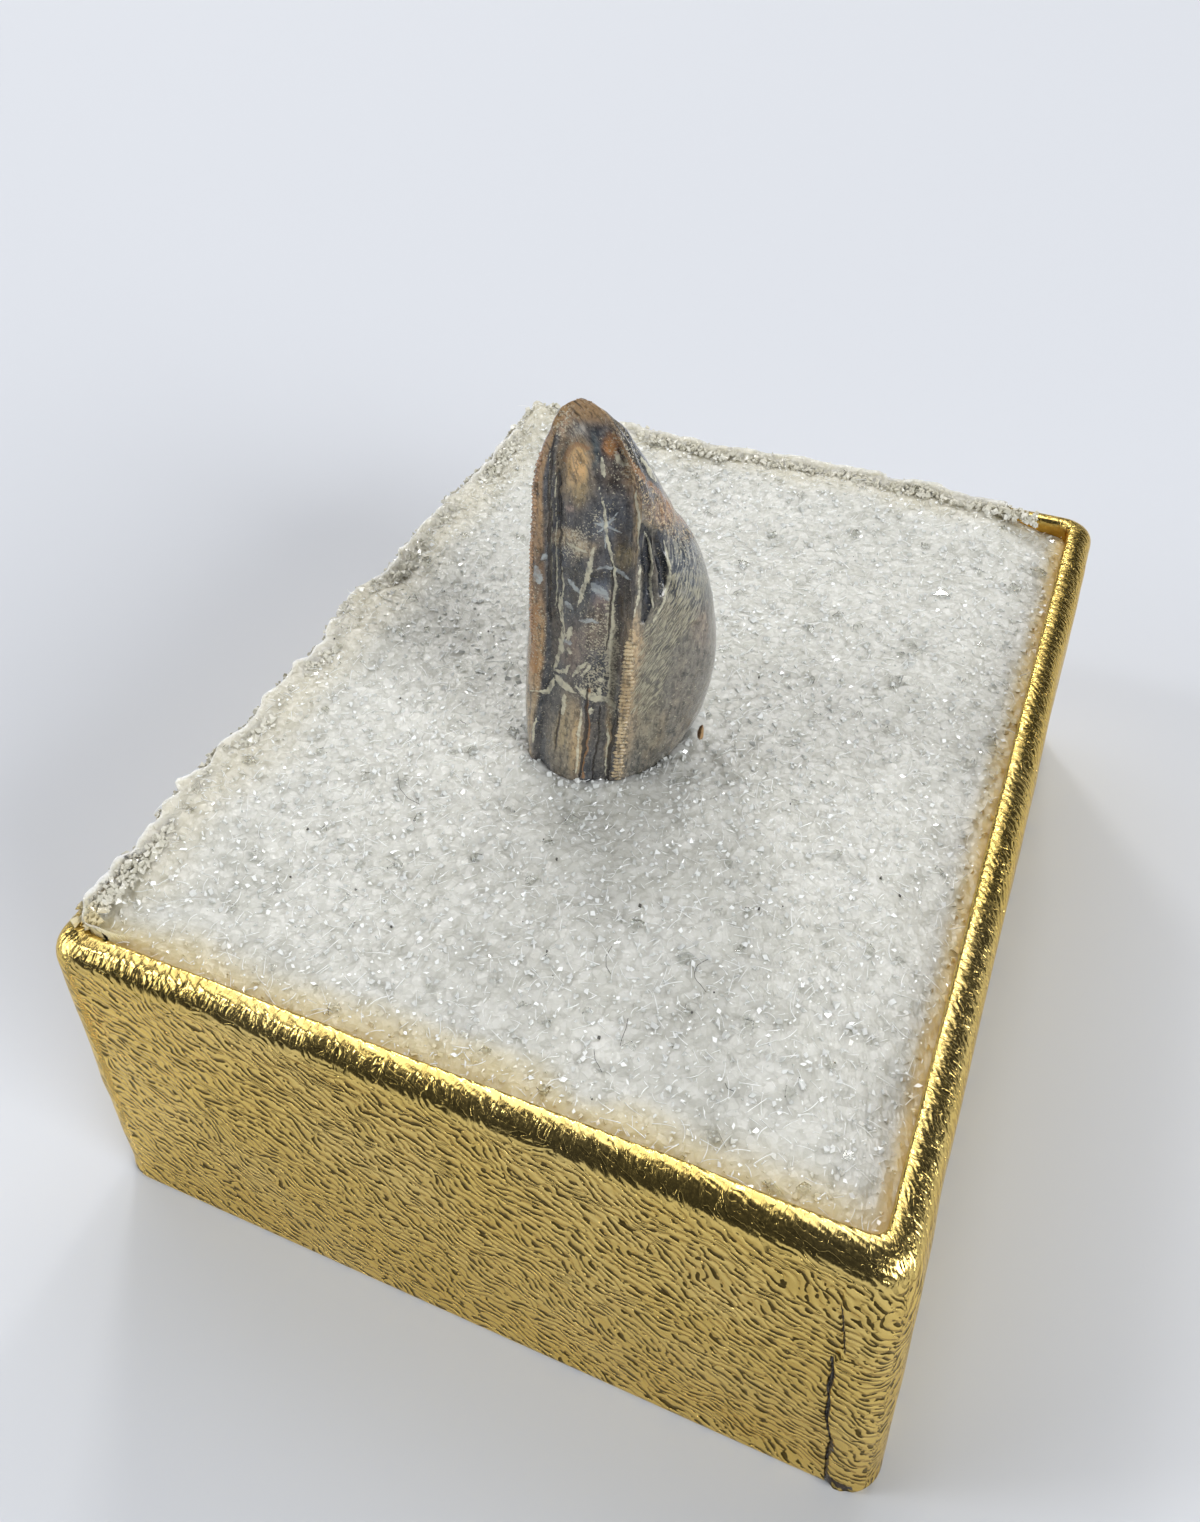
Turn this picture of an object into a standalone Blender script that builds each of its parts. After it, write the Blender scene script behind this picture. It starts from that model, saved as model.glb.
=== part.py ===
"""A fossil theropod tooth standing in a small foil-covered display box with a white filling."""

import math

import bmesh
import bpy
from mathutils import Vector, noise

MM = 0.001

# Box tray, outside sizes in millimetres. X is the short side and Y the long side.
BOX_SHORT = 41.3
BOX_LONG = 54.0
BOX_HEIGHT = 19.05
WALL = 1.6
FLOOR = 1.2
CORNER_OUTER = 1.7
CORNER_INNER = 0.6
SHOULDER = 1.3
INNER_EDGE = WALL - SHOULDER
FOOT_ROUND = 0.4
CORNER_STEPS = 5
SHOULDER_STEPS = 6
INNER_EDGE_STEPS = 2

# Clearance left between pieces that touch.
GAP = 0.3

# Filling: its level at the front and right walls, and how it heaps up towards the left and far edges.
FILL_LOW = 17.95
FILL_MIDDLE_RISE = 0.25
LEFT_HEAP = 1.45
FAR_HEAP = 1.15
HEAP_REACH = 7.0
CORNER_PEAK = 0.75
CORNER_PEAK_REACH = 4.5
SPILL_MOST = 1.35
SPILL_THICKNESS = 0.45
EDGE_LUMP = 3.4
LUMP_HEIGHT = 0.16
LUMP_SIZE = 2.6
COLLAR_RISE = 0.2
COLLAR_REACH = 1.8
FILL_SIDES = 96
FILL_RINGS = 13

# Tooth. Heights are above FOOT_LEVEL, where the tooth comes out of the filling.
FOOT_LEVEL = 18.2
TOOTH_SUNK = 2.0
TOOTH_HEIGHT = 21.8
TOOTH_CENTRE = (-1.8, -2.6)
TIP = (-1.8, -4.75)

# Each line of the tooth is a list of (height, place) pairs that a smooth curve runs through.
LEFT_EDGE_X = [(-2.0, -4.85), (0.0, -5.05), (2.0, -5.1), (5.0, -4.92), (8.0, -4.66), (12.0, -4.56),
               (14.9, -4.35), (17.6, -4.12), (18.9, -3.75), (19.9, -3.36), (20.8, -3.05), (21.3, -2.75),
               (21.6, -2.4), (21.75, -2.1)]
LEFT_EDGE_Y = [(-2.0, -5.9), (0.0, -6.0), (12.0, -5.45), (18.0, -5.2), (20.8, -5.1), (21.6, -4.9),
               (21.75, -4.8)]
RIGHT_EDGE_X = [(-2.0, 0.1), (0.5, 0.35), (4.2, 0.7), (7.6, 0.95), (11.0, 1.12), (14.4, 1.22),
                (17.1, 1.35), (18.4, 1.15), (19.5, 0.7), (20.5, 0.1), (21.2, -0.42), (21.6, -0.95),
                (21.75, -1.35)]
RIGHT_EDGE_Y = [(-2.0, -6.4), (0.5, -6.42), (7.6, -6.25), (12.0, -5.95), (17.0, -5.4), (20.5, -5.05),
                (21.6, -4.9), (21.75, -4.8)]
FLANK_X = [(-2.0, 2.1), (0.0, 2.4), (1.6, 3.05), (4.7, 3.78), (6.8, 3.96), (9.0, 3.9), (11.0, 3.62),
           (12.6, 3.25), (13.5, 2.85), (14.2, 2.3), (15.2, 1.95), (16.0, 1.62), (17.5, 1.12), (18.8, 0.45),
           (20.0, -0.15), (20.8, -0.75), (21.3, -1.15), (21.6, -1.4), (21.75, -1.6)]
FLANK_Y = [(-2.0, -1.6), (0.0, -1.6), (9.0, -2.8), (15.2, -3.6), (17.5, -3.75), (20.0, -3.9), (20.8, -4.2),
           (21.3, -4.5), (21.75, -4.76)]
BACK_X = [(-2.0, -1.7), (9.0, -1.6), (16.0, -1.9), (20.0, -2.1), (21.75, -1.9)]
BACK_Y = [(-2.0, 1.9), (0.0, 2.4), (5.0, 2.6), (9.0, 2.1), (13.0, 0.9), (16.0, -0.6), (18.0, -1.8),
          (20.0, -3.0), (21.0, -3.75), (21.5, -4.3), (21.75, -4.65)]
LEFT_SIDE_X = [(-2.0, -5.8), (0.0, -5.95), (5.0, -5.95), (9.0, -5.7), (13.0, -5.25), (16.0, -4.8),
               (18.0, -4.25), (20.0, -3.4), (21.3, -2.6), (21.75, -2.0)]
LEFT_SIDE_Y = [(-2.0, -2.2), (0.0, -2.2), (9.0, -2.4), (16.0, -3.3), (20.0, -4.2), (21.75, -4.74)]

# Relief across the flat face, from its left edge (0) to its right edge (1), outwards positive.
FACE_RELIEF = [(0.0, 0.0), (0.06, 0.1), (0.13, 0.02), (0.2, -0.3), (0.27, -0.2), (0.36, 0.02),
               (0.48, 0.1), (0.57, 0.2), (0.66, 0.06), (0.77, -0.12), (0.87, -0.34), (0.95, -0.05),
               (1.0, 0.16)]
RELIEF_FADE_FROM = 19.0
FOOT_SWELL = 1.0
FOOT_SWELL_TOP = 7.0

# Two long chips beside the right edge, high on the flank: place along the flank, depth.
CHIPS = [(0.2, 0.34), (0.44, 0.36)]
CHIP_HALF_WIDTH = 0.11
CHIP_LOW = 11.2
CHIP_HIGH = 16.4

FLANK_STEPS = [0.1, 0.2, 0.32, 0.44, 0.57, 0.72, 0.86]
ARC_STEPS = 6
LEFT_STEPS = 4
BODY_STATION_STEP = 0.6
TIP_STATIONS = [19.4, 19.9, 20.4, 20.85, 21.2, 21.45, 21.62, 21.73]

# Splinter against the right side of the tooth's foot.
CHIP_PLACE = (3.35, -2.1)
CHIP_SIZE = (0.36, 0.6, 0.9)
CHIP_TURN = math.radians(35)
CHIP_LEAN = math.radians(-8)


def clear_scene():
    for item in list(bpy.data.objects):
        bpy.data.objects.remove(item, do_unlink=True)


def make_material(name, colour, roughness, metallic=0.0):
    material = bpy.data.materials.new(name)
    material.use_nodes = True
    shader = material.node_tree.nodes["Principled BSDF"]
    shader.inputs["Base Color"].default_value = (*colour, 1.0)
    shader.inputs["Roughness"].default_value = roughness
    shader.inputs["Metallic"].default_value = metallic
    material.diffuse_color = (*colour, 1.0)
    return material


def smoothstep(low, high, value):
    t = min(max((value - low) / (high - low), 0.0), 1.0)
    return t * t * (3.0 - 2.0 * t)


def along(points, at):
    """The value at a place on a smooth curve through (place, value) pairs."""
    if at <= points[0][0]:
        return points[0][1]
    if at >= points[-1][0]:
        return points[-1][1]
    last = len(points) - 1
    i = max(k for k in range(last) if points[k][0] <= at)
    (x0, y0), (x1, y1) = points[i], points[i + 1]
    step = (y1 - y0) / (x1 - x0)
    before = (y0 - points[i - 1][1]) / (x0 - points[i - 1][0]) if i > 0 else step
    after = (points[i + 2][1] - y1) / (points[i + 2][0] - x1) if i + 1 < last else step
    slope_in = 0.5 * (before + step) if before * step > 0 else 0.0
    slope_out = 0.5 * (after + step) if after * step > 0 else 0.0
    t = (at - x0) / (x1 - x0)
    width = x1 - x0
    return ((2 * t**3 - 3 * t**2 + 1) * y0 + (t**3 - 2 * t**2 + t) * width * slope_in
            + (3 * t**2 - 2 * t**3) * y1 + (t**3 - t**2) * width * slope_out)


def bezier(p0, p1, p2, p3, t):
    u = 1.0 - t
    return p0 * u**3 + p1 * (3 * u * u * t) + p2 * (3 * u * t * t) + p3 * t**3


def loft(name, rings, material, tip=None):
    """One closed body through equal rings of points in millimetres, capped at both ends."""
    mesh = bpy.data.meshes.new(name)
    bm = bmesh.new()
    rows = [[bm.verts.new(point * MM) for point in ring] for ring in rings]
    count = len(rows[0])
    for lower, upper in zip(rows, rows[1:]):
        for k in range(count):
            n = (k + 1) % count
            bm.faces.new((lower[k], lower[n], upper[n], upper[k]))
    bm.faces.new(list(reversed(rows[0])))
    if tip is None:
        bm.faces.new(rows[-1])
    else:
        top = bm.verts.new(tip * MM)
        for k in range(count):
            bm.faces.new((rows[-1][k], rows[-1][(k + 1) % count], top))
    bmesh.ops.recalc_face_normals(bm, faces=bm.faces)
    bm.to_mesh(mesh)
    bm.free()
    mesh.materials.append(material)
    mesh.shade_smooth()
    mesh.set_sharp_from_angle(angle=math.radians(40))
    item = bpy.data.objects.new(name, mesh)
    bpy.context.scene.collection.objects.link(item)
    return item


def rounded_rectangle(width, length, radius, height):
    """Points round a rectangle with round corners, the same number for any size."""
    points = []
    centres = [(1, 1, 0), (-1, 1, 90), (-1, -1, 180), (1, -1, 270)]
    for side_x, side_y, start in centres:
        for k in range(CORNER_STEPS + 1):
            angle = math.radians(start + 90 * k / CORNER_STEPS)
            x = side_x * (width / 2 - radius) + radius * math.cos(angle)
            y = side_y * (length / 2 - radius) + radius * math.sin(angle)
            points.append(Vector((x, y, height)))
    return points


def make_box_tray():
    """The tray as one skin: base, outer wall, rim with a wide outer shoulder, inner wall and inside floor."""
    def ring(inset, height):
        radius = max(CORNER_OUTER - inset * (CORNER_OUTER - CORNER_INNER) / WALL, CORNER_INNER)
        return rounded_rectangle(BOX_SHORT - 2 * inset, BOX_LONG - 2 * inset, radius, height)

    rings = [ring(FOOT_ROUND, 0.0), ring(FOOT_ROUND * 0.3, FOOT_ROUND * 0.3), ring(0.0, FOOT_ROUND)]
    for k in range(SHOULDER_STEPS + 1):
        angle = math.pi / 2 * k / SHOULDER_STEPS
        rings.append(ring(SHOULDER * (1 - math.cos(angle)), BOX_HEIGHT - SHOULDER * (1 - math.sin(angle))))
    for k in range(1, INNER_EDGE_STEPS + 1):
        angle = math.pi / 2 * k / INNER_EDGE_STEPS
        rings.append(ring(SHOULDER + INNER_EDGE * math.sin(angle), BOX_HEIGHT - INNER_EDGE * (1 - math.cos(angle))))
    rings.append(ring(WALL, FLOOR))
    gold = make_material("gold_foil", (0.72, 0.52, 0.13), 0.3, 1.0)
    return loft("box_tray", rings, gold)


def chip_depth(place, height):
    """How deep the two long chips cut into the flank at one place."""
    span = smoothstep(CHIP_LOW, CHIP_LOW + 1.6, height) * (1 - smoothstep(CHIP_HIGH - 1.6, CHIP_HIGH, height))
    depth = 0.0
    for centre, deepest in CHIPS:
        depth += deepest * max(0.0, 1.0 - abs(place - centre) / CHIP_HALF_WIDTH)
    return depth * span


def tooth_ring(height, grow=0.0):
    """The tooth's outline at a height, counter-clockwise seen from above."""
    left = Vector((along(LEFT_EDGE_X, height), along(LEFT_EDGE_Y, height)))
    right = Vector((along(RIGHT_EDGE_X, height), along(RIGHT_EDGE_Y, height)))
    flank = Vector((along(FLANK_X, height), along(FLANK_Y, height)))
    back = Vector((along(BACK_X, height), along(BACK_Y, height)))
    side = Vector((along(LEFT_SIDE_X, height), along(LEFT_SIDE_Y, height)))
    outline = []
    across = (right - left).normalized()
    outward = Vector((across.y, -across.x))
    fade = 1.0 - smoothstep(RELIEF_FADE_FROM, TOOTH_HEIGHT, height)
    swell = FOOT_SWELL * (1.0 - smoothstep(0.0, FOOT_SWELL_TOP, height))
    for place, relief in FACE_RELIEF:
        bulge = swell * (1.0 - abs(2.0 * place - 1.0) ** 4)
        outline.append(left.lerp(right, place) + outward * (relief * fade + bulge))
    reach = (flank - right).length
    leave = right + Vector((math.cos(math.radians(42)), math.sin(math.radians(42)))) * (0.38 * reach)
    arrive = flank - Vector((0.0, 0.42 * (flank.y - right.y)))
    for place in FLANK_STEPS:
        point = bezier(right, leave, arrive, flank, place)
        inward = (back.lerp(left, 0.5) - point).normalized()
        outline.append(point + inward * chip_depth(place, height))
    for k in range(ARC_STEPS):
        angle = math.pi / 2 * k / ARC_STEPS
        outline.append(Vector((back.x + (flank.x - back.x) * math.cos(angle),
                               flank.y + (back.y - flank.y) * math.sin(angle))))
    for k in range(ARC_STEPS):
        angle = math.pi / 2 * k / ARC_STEPS
        outline.append(Vector((back.x + (side.x - back.x) * math.sin(angle),
                               side.y + (back.y - side.y) * math.cos(angle))))
    turn_in = side - Vector((0.0, 0.5 * (side.y - left.y)))
    meet = left + Vector((-0.2, 0.3)) * (side - left).length
    for k in range(LEFT_STEPS):
        outline.append(bezier(side, turn_in, meet, left, k / LEFT_STEPS))
    if grow:
        outline = grown(outline, grow)
    return [Vector((p.x, p.y, FOOT_LEVEL + height)) for p in outline]


def grown(outline, distance):
    """The outline moved outwards along the average of its neighbouring sides' normals."""
    moved = []
    count = len(outline)
    for k, point in enumerate(outline):
        run = outline[(k + 1) % count] - outline[k - 1]
        moved.append(point + Vector((run.y, -run.x)).normalized() * distance)
    return moved


def make_tooth():
    heights = [-TOOTH_SUNK]
    while heights[-1] + BODY_STATION_STEP < TIP_STATIONS[0]:
        heights.append(heights[-1] + BODY_STATION_STEP)
    heights += TIP_STATIONS
    rings = [tooth_ring(height) for height in heights]
    enamel = make_material("fossil_enamel", (0.16, 0.12, 0.09), 0.35)
    return loft("tooth", rings, enamel, tip=Vector((*TIP, FOOT_LEVEL + TOOTH_HEIGHT)))


def uneven(place, seed):
    """A smooth uneven value between 0 and 1 along an edge."""
    return min(max(0.5 + 0.75 * noise.noise(Vector((place / EDGE_LUMP, seed, 0.0))), 0.0), 1.0)


def spill(x, y):
    """How far the filling spreads out over the rim, which it only does at the left and far edges."""
    left = smoothstep(-16.5, -18.5, x) * (0.3 + 0.7 * uneven(y, 1.3)) * smoothstep(-25.2, -23.0, y)
    far = smoothstep(23.0, 25.0, y) * uneven(x, 7.1) * smoothstep(17.0, 9.0, x)
    return SPILL_MOST * max(left, far)


def fill_height(x, y):
    """The top of the filling: low at the front and right, heaped at the left and far edges."""
    inner_x = BOX_SHORT / 2 - WALL
    inner_y = BOX_LONG / 2 - WALL
    left = smoothstep(HEAP_REACH, 0.0, x + inner_x) * (0.55 + 0.45 * uneven(y, 1.3))
    left *= smoothstep(-25.4, -21.0, y)
    far = smoothstep(HEAP_REACH, 0.0, inner_y - y) * (0.6 + 0.4 * uneven(x, 7.1))
    far *= smoothstep(19.0, 12.0, x)
    corner = math.hypot(x + inner_x, inner_y - y)
    height = FILL_LOW + FILL_MIDDLE_RISE * smoothstep(0.0, 8.0, inner_x - x) * smoothstep(0.0, 8.0, y + inner_y)
    height += max(LEFT_HEAP * left, FAR_HEAP * far)
    height += CORNER_PEAK * smoothstep(CORNER_PEAK_REACH, 0.0, corner)
    height += LUMP_HEIGHT * noise.noise(Vector((x, y, 0.0)) / LUMP_SIZE)
    return height


def ray_to_outline(centre, direction, outline):
    """Where a ray from the centre crosses a closed outline, as a distance."""
    best = None
    count = len(outline)
    for k in range(count):
        a, b = outline[k] - centre, outline[(k + 1) % count] - centre
        side = b - a
        cross = direction.x * side.y - direction.y * side.x
        if abs(cross) < 1e-9:
            continue
        distance = (a.x * side.y - a.y * side.x) / cross
        share = (a.x * direction.y - a.y * direction.x) / cross
        if distance > 0 and -1e-6 <= share <= 1 + 1e-6:
            best = distance if best is None else max(best, distance)
    return best


def evenly_round(outline, wanted):
    """Points round a closed outline: its own corner points, and evenly spaced ones on its long sides."""
    total = sum((b - a).length for a, b in zip(outline, outline[1:] + outline[:1]))
    points = []
    for a, b in zip(outline, outline[1:] + outline[:1]):
        pieces = max(1, round(wanted * (b - a).length / total))
        points += [a.lerp(b, k / pieces) for k in range(pieces)]
    return points


def make_filling():
    """One body: the block in the tray, its edge over the rim, its top and the tooth's pocket."""
    centre = Vector(TOOTH_CENTRE)
    width = BOX_SHORT - 2 * (WALL + GAP)
    length = BOX_LONG - 2 * (WALL + GAP)
    walls = [Vector((p.x, p.y)) for p in rounded_rectangle(width, length, CORNER_INNER, 0.0)]
    edge = evenly_round(walls, FILL_SIDES)
    directions = [(point - centre).normalized() for point in edge]

    def pocket(height):
        outline = [Vector((p.x, p.y)) for p in tooth_ring(height, GAP)]
        return [centre + d * ray_to_outline(centre, d, outline) for d in directions]

    under_spill = BOX_HEIGHT + GAP
    mouth = pocket(0.0)
    bottom = [Vector((p.x, p.y, FLOOR + GAP)) for p in edge]
    wall_top = []
    lip = []
    lip_top = []
    for point in edge:
        out = spill(point.x, point.y)
        shoulder = point + Vector((-out if point.x < -15 else 0.0, out if point.y > 20 else 0.0))
        crest = fill_height(point.x, point.y)
        if out > 0.15:
            wall_top.append(Vector((point.x, point.y, under_spill)))
            lip.append(Vector((shoulder.x, shoulder.y, under_spill + 0.08)))
            lip_top.append(Vector((shoulder.x, shoulder.y, max(crest - 0.15, under_spill + SPILL_THICKNESS))))
        else:
            wall_top.append(Vector((point.x, point.y, crest - 0.7)))
            lip.append(Vector((point.x, point.y, crest - 0.45)))
            lip_top.append(Vector((point.x, point.y, crest - 0.2)))
    rings = [bottom, wall_top, lip, lip_top]
    for k in range(FILL_RINGS + 1):
        share = (k + 0.35) / (FILL_RINGS + 0.35)
        ring = []
        for start, stop in zip(lip_top, mouth):
            x = start.x + (stop.x - start.x) * share
            y = start.y + (stop.y - start.y) * share
            from_tooth = math.hypot(x - stop.x, y - stop.y)
            height = fill_height(x, y) + COLLAR_RISE * smoothstep(COLLAR_REACH, 0.0, from_tooth)
            level = start.z + (height - start.z) * min(1.0, 1.6 * share * 6)
            ring.append(Vector((x, y, level)))
        rings.append(ring)
    depth = TOOTH_SUNK + GAP
    for height in (-0.5, -depth):
        rings.append([Vector((p.x, p.y, FOOT_LEVEL + height)) for p in pocket(height)])
    white = make_material("white_filling", (0.78, 0.78, 0.75), 0.5)
    return loft("filling", rings, white)


def make_chip():
    """A six-sided splinter with a pointed top, leaning a little away from the tooth."""
    width, depth, tall = CHIP_SIZE
    rings = []
    for share, scale in ((0.0, 0.7), (0.25, 1.0), (0.7, 0.7), (1.0, 0.25)):
        ring = []
        for k in range(6):
            angle = 2 * math.pi * k / 6
            x = 0.5 * width * scale * math.cos(angle)
            y = 0.5 * depth * scale * math.sin(angle)
            lean = -math.tan(CHIP_LEAN) * tall * share
            turned = Vector((x * math.cos(CHIP_TURN) - y * math.sin(CHIP_TURN) + lean,
                             x * math.sin(CHIP_TURN) + y * math.cos(CHIP_TURN)))
            place = Vector(CHIP_PLACE) + turned
            ring.append(Vector((place.x, place.y, tall * share)))
        rings.append(ring)
    reach = math.hypot(width, depth)
    ground = max(fill_height(CHIP_PLACE[0] + dx, CHIP_PLACE[1] + dy) + COLLAR_RISE
                 for dx in (-reach, 0.0, reach) for dy in (-reach, 0.0, reach))
    lift = Vector((0.0, 0.0, ground + GAP))
    rings = [[point + lift for point in ring] for ring in rings]
    brown = make_material("brown_chip", (0.3, 0.16, 0.07), 0.6)
    return loft("chip", rings, brown)


def main():
    clear_scene()
    make_box_tray()
    make_filling()
    make_tooth()
    make_chip()


main()
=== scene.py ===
"""The looks of a fossil theropod tooth standing in its gold foil display box.

Sizes are in millimetres in this script and are turned into metres when a mesh is made.
X runs along the box's short side, Y along its long side and Z up, with the origin under the box.
"""

import math

import bpy
import numpy as np
from mathutils import Matrix, Vector, noise


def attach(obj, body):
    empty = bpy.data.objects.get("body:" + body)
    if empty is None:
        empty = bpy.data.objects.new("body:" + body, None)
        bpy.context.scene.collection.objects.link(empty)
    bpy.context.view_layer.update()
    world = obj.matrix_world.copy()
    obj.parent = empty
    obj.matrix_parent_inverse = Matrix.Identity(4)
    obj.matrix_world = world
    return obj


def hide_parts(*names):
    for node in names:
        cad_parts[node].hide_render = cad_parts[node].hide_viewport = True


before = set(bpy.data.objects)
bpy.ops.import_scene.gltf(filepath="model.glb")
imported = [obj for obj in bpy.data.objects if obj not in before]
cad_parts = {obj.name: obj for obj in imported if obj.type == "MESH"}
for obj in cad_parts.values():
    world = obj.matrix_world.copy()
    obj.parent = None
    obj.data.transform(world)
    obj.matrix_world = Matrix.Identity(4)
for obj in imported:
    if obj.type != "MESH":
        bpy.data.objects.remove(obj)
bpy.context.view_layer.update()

MM = 0.001

# The photograph's frame and the camera that it was taken with.
IMAGE_WIDTH = 1200
IMAGE_HEIGHT = 1522
CAMERA_AT = (20.57, -54.18, 70.53)
CAMERA_HEADING = 24.14
CAMERA_DOWN = 35.69
CAMERA_ROLL = -1.59
FOCAL_PIXELS = 1373.6
AXIS_PIXEL = (591.6, 551.3)
SENSOR = 36.0

# Box, as in the solids.
BOX_SHORT = 41.3
BOX_LONG = 54.0
BOX_HEIGHT = 19.05
WALL = 1.6
FLOOR = 1.2
CORNER_OUTER = 1.7
CORNER_INNER = 0.6
SHOULDER = 1.3
INNER_EDGE = WALL - SHOULDER
FOOT_ROUND = 0.4

# Filling, as in the solids.
FILL_LOW = 17.95
FILL_MIDDLE_RISE = 0.25
LEFT_HEAP = 1.45
FAR_HEAP = 1.15
HEAP_REACH = 7.0
CORNER_PEAK = 0.75
CORNER_PEAK_REACH = 4.5
SPILL_MOST = 1.35
SPILL_THICKNESS = 0.45
EDGE_LUMP = 3.4
LUMP_HEIGHT = 0.16
LUMP_SIZE = 2.6
COLLAR_RISE = 0.2
COLLAR_REACH = 1.8

# Tooth, as in the solids: (height above the filling, place) pairs that a smooth curve runs through.
FOOT_LEVEL = 18.2
TOOTH_SUNK = 2.0
TOOTH_HEIGHT = 21.8
TOOTH_CENTRE = (-1.8, -2.6)
TIP = (-1.8, -4.75)
LEFT_EDGE_X = [(-2.0, -4.85), (0.0, -5.05), (2.0, -5.1), (5.0, -4.92), (8.0, -4.66), (12.0, -4.56),
               (14.9, -4.35), (17.6, -4.12), (18.9, -3.75), (19.9, -3.36), (20.8, -3.05), (21.3, -2.75),
               (21.6, -2.4), (21.75, -2.1)]
LEFT_EDGE_Y = [(-2.0, -5.9), (0.0, -6.0), (12.0, -5.45), (18.0, -5.2), (20.8, -5.1), (21.6, -4.9),
               (21.75, -4.8)]
RIGHT_EDGE_X = [(-2.0, 0.1), (0.5, 0.35), (4.2, 0.7), (7.6, 0.95), (11.0, 1.12), (14.4, 1.22),
                (17.1, 1.35), (18.4, 1.15), (19.5, 0.7), (20.5, 0.1), (21.2, -0.42), (21.6, -0.95),
                (21.75, -1.35)]
RIGHT_EDGE_Y = [(-2.0, -6.4), (0.5, -6.42), (7.6, -6.25), (12.0, -5.95), (17.0, -5.4), (20.5, -5.05),
                (21.6, -4.9), (21.75, -4.8)]
FLANK_X = [(-2.0, 2.1), (0.0, 2.4), (1.6, 3.05), (4.7, 3.78), (6.8, 3.96), (9.0, 3.9), (11.0, 3.62),
           (12.6, 3.25), (13.5, 2.85), (14.2, 2.3), (15.2, 1.95), (16.0, 1.62), (17.5, 1.12), (18.8, 0.45),
           (20.0, -0.15), (20.8, -0.75), (21.3, -1.15), (21.6, -1.4), (21.75, -1.6)]
FLANK_Y = [(-2.0, -1.6), (0.0, -1.6), (9.0, -2.8), (15.2, -3.6), (17.5, -3.75), (20.0, -3.9), (20.8, -4.2),
           (21.3, -4.5), (21.75, -4.76)]
BACK_X = [(-2.0, -1.7), (9.0, -1.6), (16.0, -1.9), (20.0, -2.1), (21.75, -1.9)]
BACK_Y = [(-2.0, 1.9), (0.0, 2.4), (5.0, 2.6), (9.0, 2.1), (13.0, 0.9), (16.0, -0.6), (18.0, -1.8),
          (20.0, -3.0), (21.0, -3.75), (21.5, -4.3), (21.75, -4.65)]
LEFT_SIDE_X = [(-2.0, -5.8), (0.0, -5.95), (5.0, -5.95), (9.0, -5.7), (13.0, -5.25), (16.0, -4.8),
               (18.0, -4.25), (20.0, -3.4), (21.3, -2.6), (21.75, -2.0)]
LEFT_SIDE_Y = [(-2.0, -2.2), (0.0, -2.2), (9.0, -2.4), (16.0, -3.3), (20.0, -4.2), (21.75, -4.74)]
FACE_RELIEF = [(0.0, 0.0), (0.06, 0.1), (0.13, 0.02), (0.2, -0.3), (0.27, -0.2), (0.36, 0.02),
               (0.48, 0.1), (0.57, 0.2), (0.66, 0.06), (0.77, -0.12), (0.87, -0.34), (0.95, -0.05),
               (1.0, 0.16)]
RELIEF_FADE_FROM = 19.0
FOOT_SWELL = 1.0
FOOT_SWELL_TOP = 7.0
CHIPS = [(0.2, 0.34), (0.44, 0.36)]
CHIP_HALF_WIDTH = 0.11
CHIP_LOW = 11.2
CHIP_HIGH = 16.4


# Small helpers


def tone(red, green, blue):
    """A colour given as it looks on a screen, from 0 to 255, made linear."""
    parts = [v / 255.0 for v in (red, green, blue)]
    return tuple(v / 12.92 if v <= 0.04045 else ((v + 0.055) / 1.055) ** 2.4 for v in parts)


def smoothstep(low, high, value):
    t = np.clip((value - low) / (high - low), 0.0, 1.0)
    return t * t * (3.0 - 2.0 * t)


def curve(points, at):
    """Values at places on the smooth curve through (place, value) pairs."""
    x = np.array([p[0] for p in points], float)
    y = np.array([p[1] for p in points], float)
    slope = np.diff(y) / np.diff(x)
    inner = np.where(slope[:-1] * slope[1:] > 0, 0.5 * (slope[:-1] + slope[1:]), 0.0)
    tangent = np.concatenate([[slope[0]], inner, [slope[-1]]])
    at = np.clip(np.asarray(at, float), x[0], x[-1])
    i = np.clip(np.searchsorted(x, at, side="right") - 1, 0, len(slope) - 1)
    width = x[i + 1] - x[i]
    t = (at - x[i]) / width
    return ((2 * t**3 - 3 * t**2 + 1) * y[i] + (t**3 - 2 * t**2 + t) * width * tangent[i]
            + (3 * t**2 - 2 * t**3) * y[i + 1] + (t**3 - t**2) * width * tangent[i + 1])


def smooth_noise(points, size, seed=0):
    """Smooth noise from -1 to 1 at points (n, 3), with lumps of a given size."""
    p = np.asarray(points, float) / size + seed * 17.31
    cell = np.floor(p).astype(np.int64)
    f = p - cell
    f = f * f * (3.0 - 2.0 * f)
    total = np.zeros(len(p))
    for corner in range(8):
        bits = np.array([corner & 1, (corner >> 1) & 1, (corner >> 2) & 1])
        c = cell + bits
        h = (c[:, 0] * 374761393 + c[:, 1] * 668265263 + c[:, 2] * 2147483647 + seed * 974634777) & 0xFFFFFFFF
        h = ((h ^ (h >> 13)) * 1274126177) & 0xFFFFFFFF
        value = ((h ^ (h >> 16)) & 0xFFFF) / 32767.5 - 1.0
        weight = np.prod(np.where(bits, f, 1.0 - f), axis=1)
        total += value * weight
    return total


def unit(vectors):
    return vectors / np.linalg.norm(vectors, axis=-1, keepdims=True)


def on_line(at, walked, line):
    """Points at given distances along a line (n, 3) whose own points are at the distances walked."""
    return np.column_stack([np.interp(at, walked, line[:, k]) for k in range(3)])


def walk_along(line):
    """The lengths of a line's parts, and how far along it each point is."""
    steps = np.linalg.norm(np.diff(line, axis=0), axis=1)
    return steps, np.concatenate([[0], np.cumsum(steps)])


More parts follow.
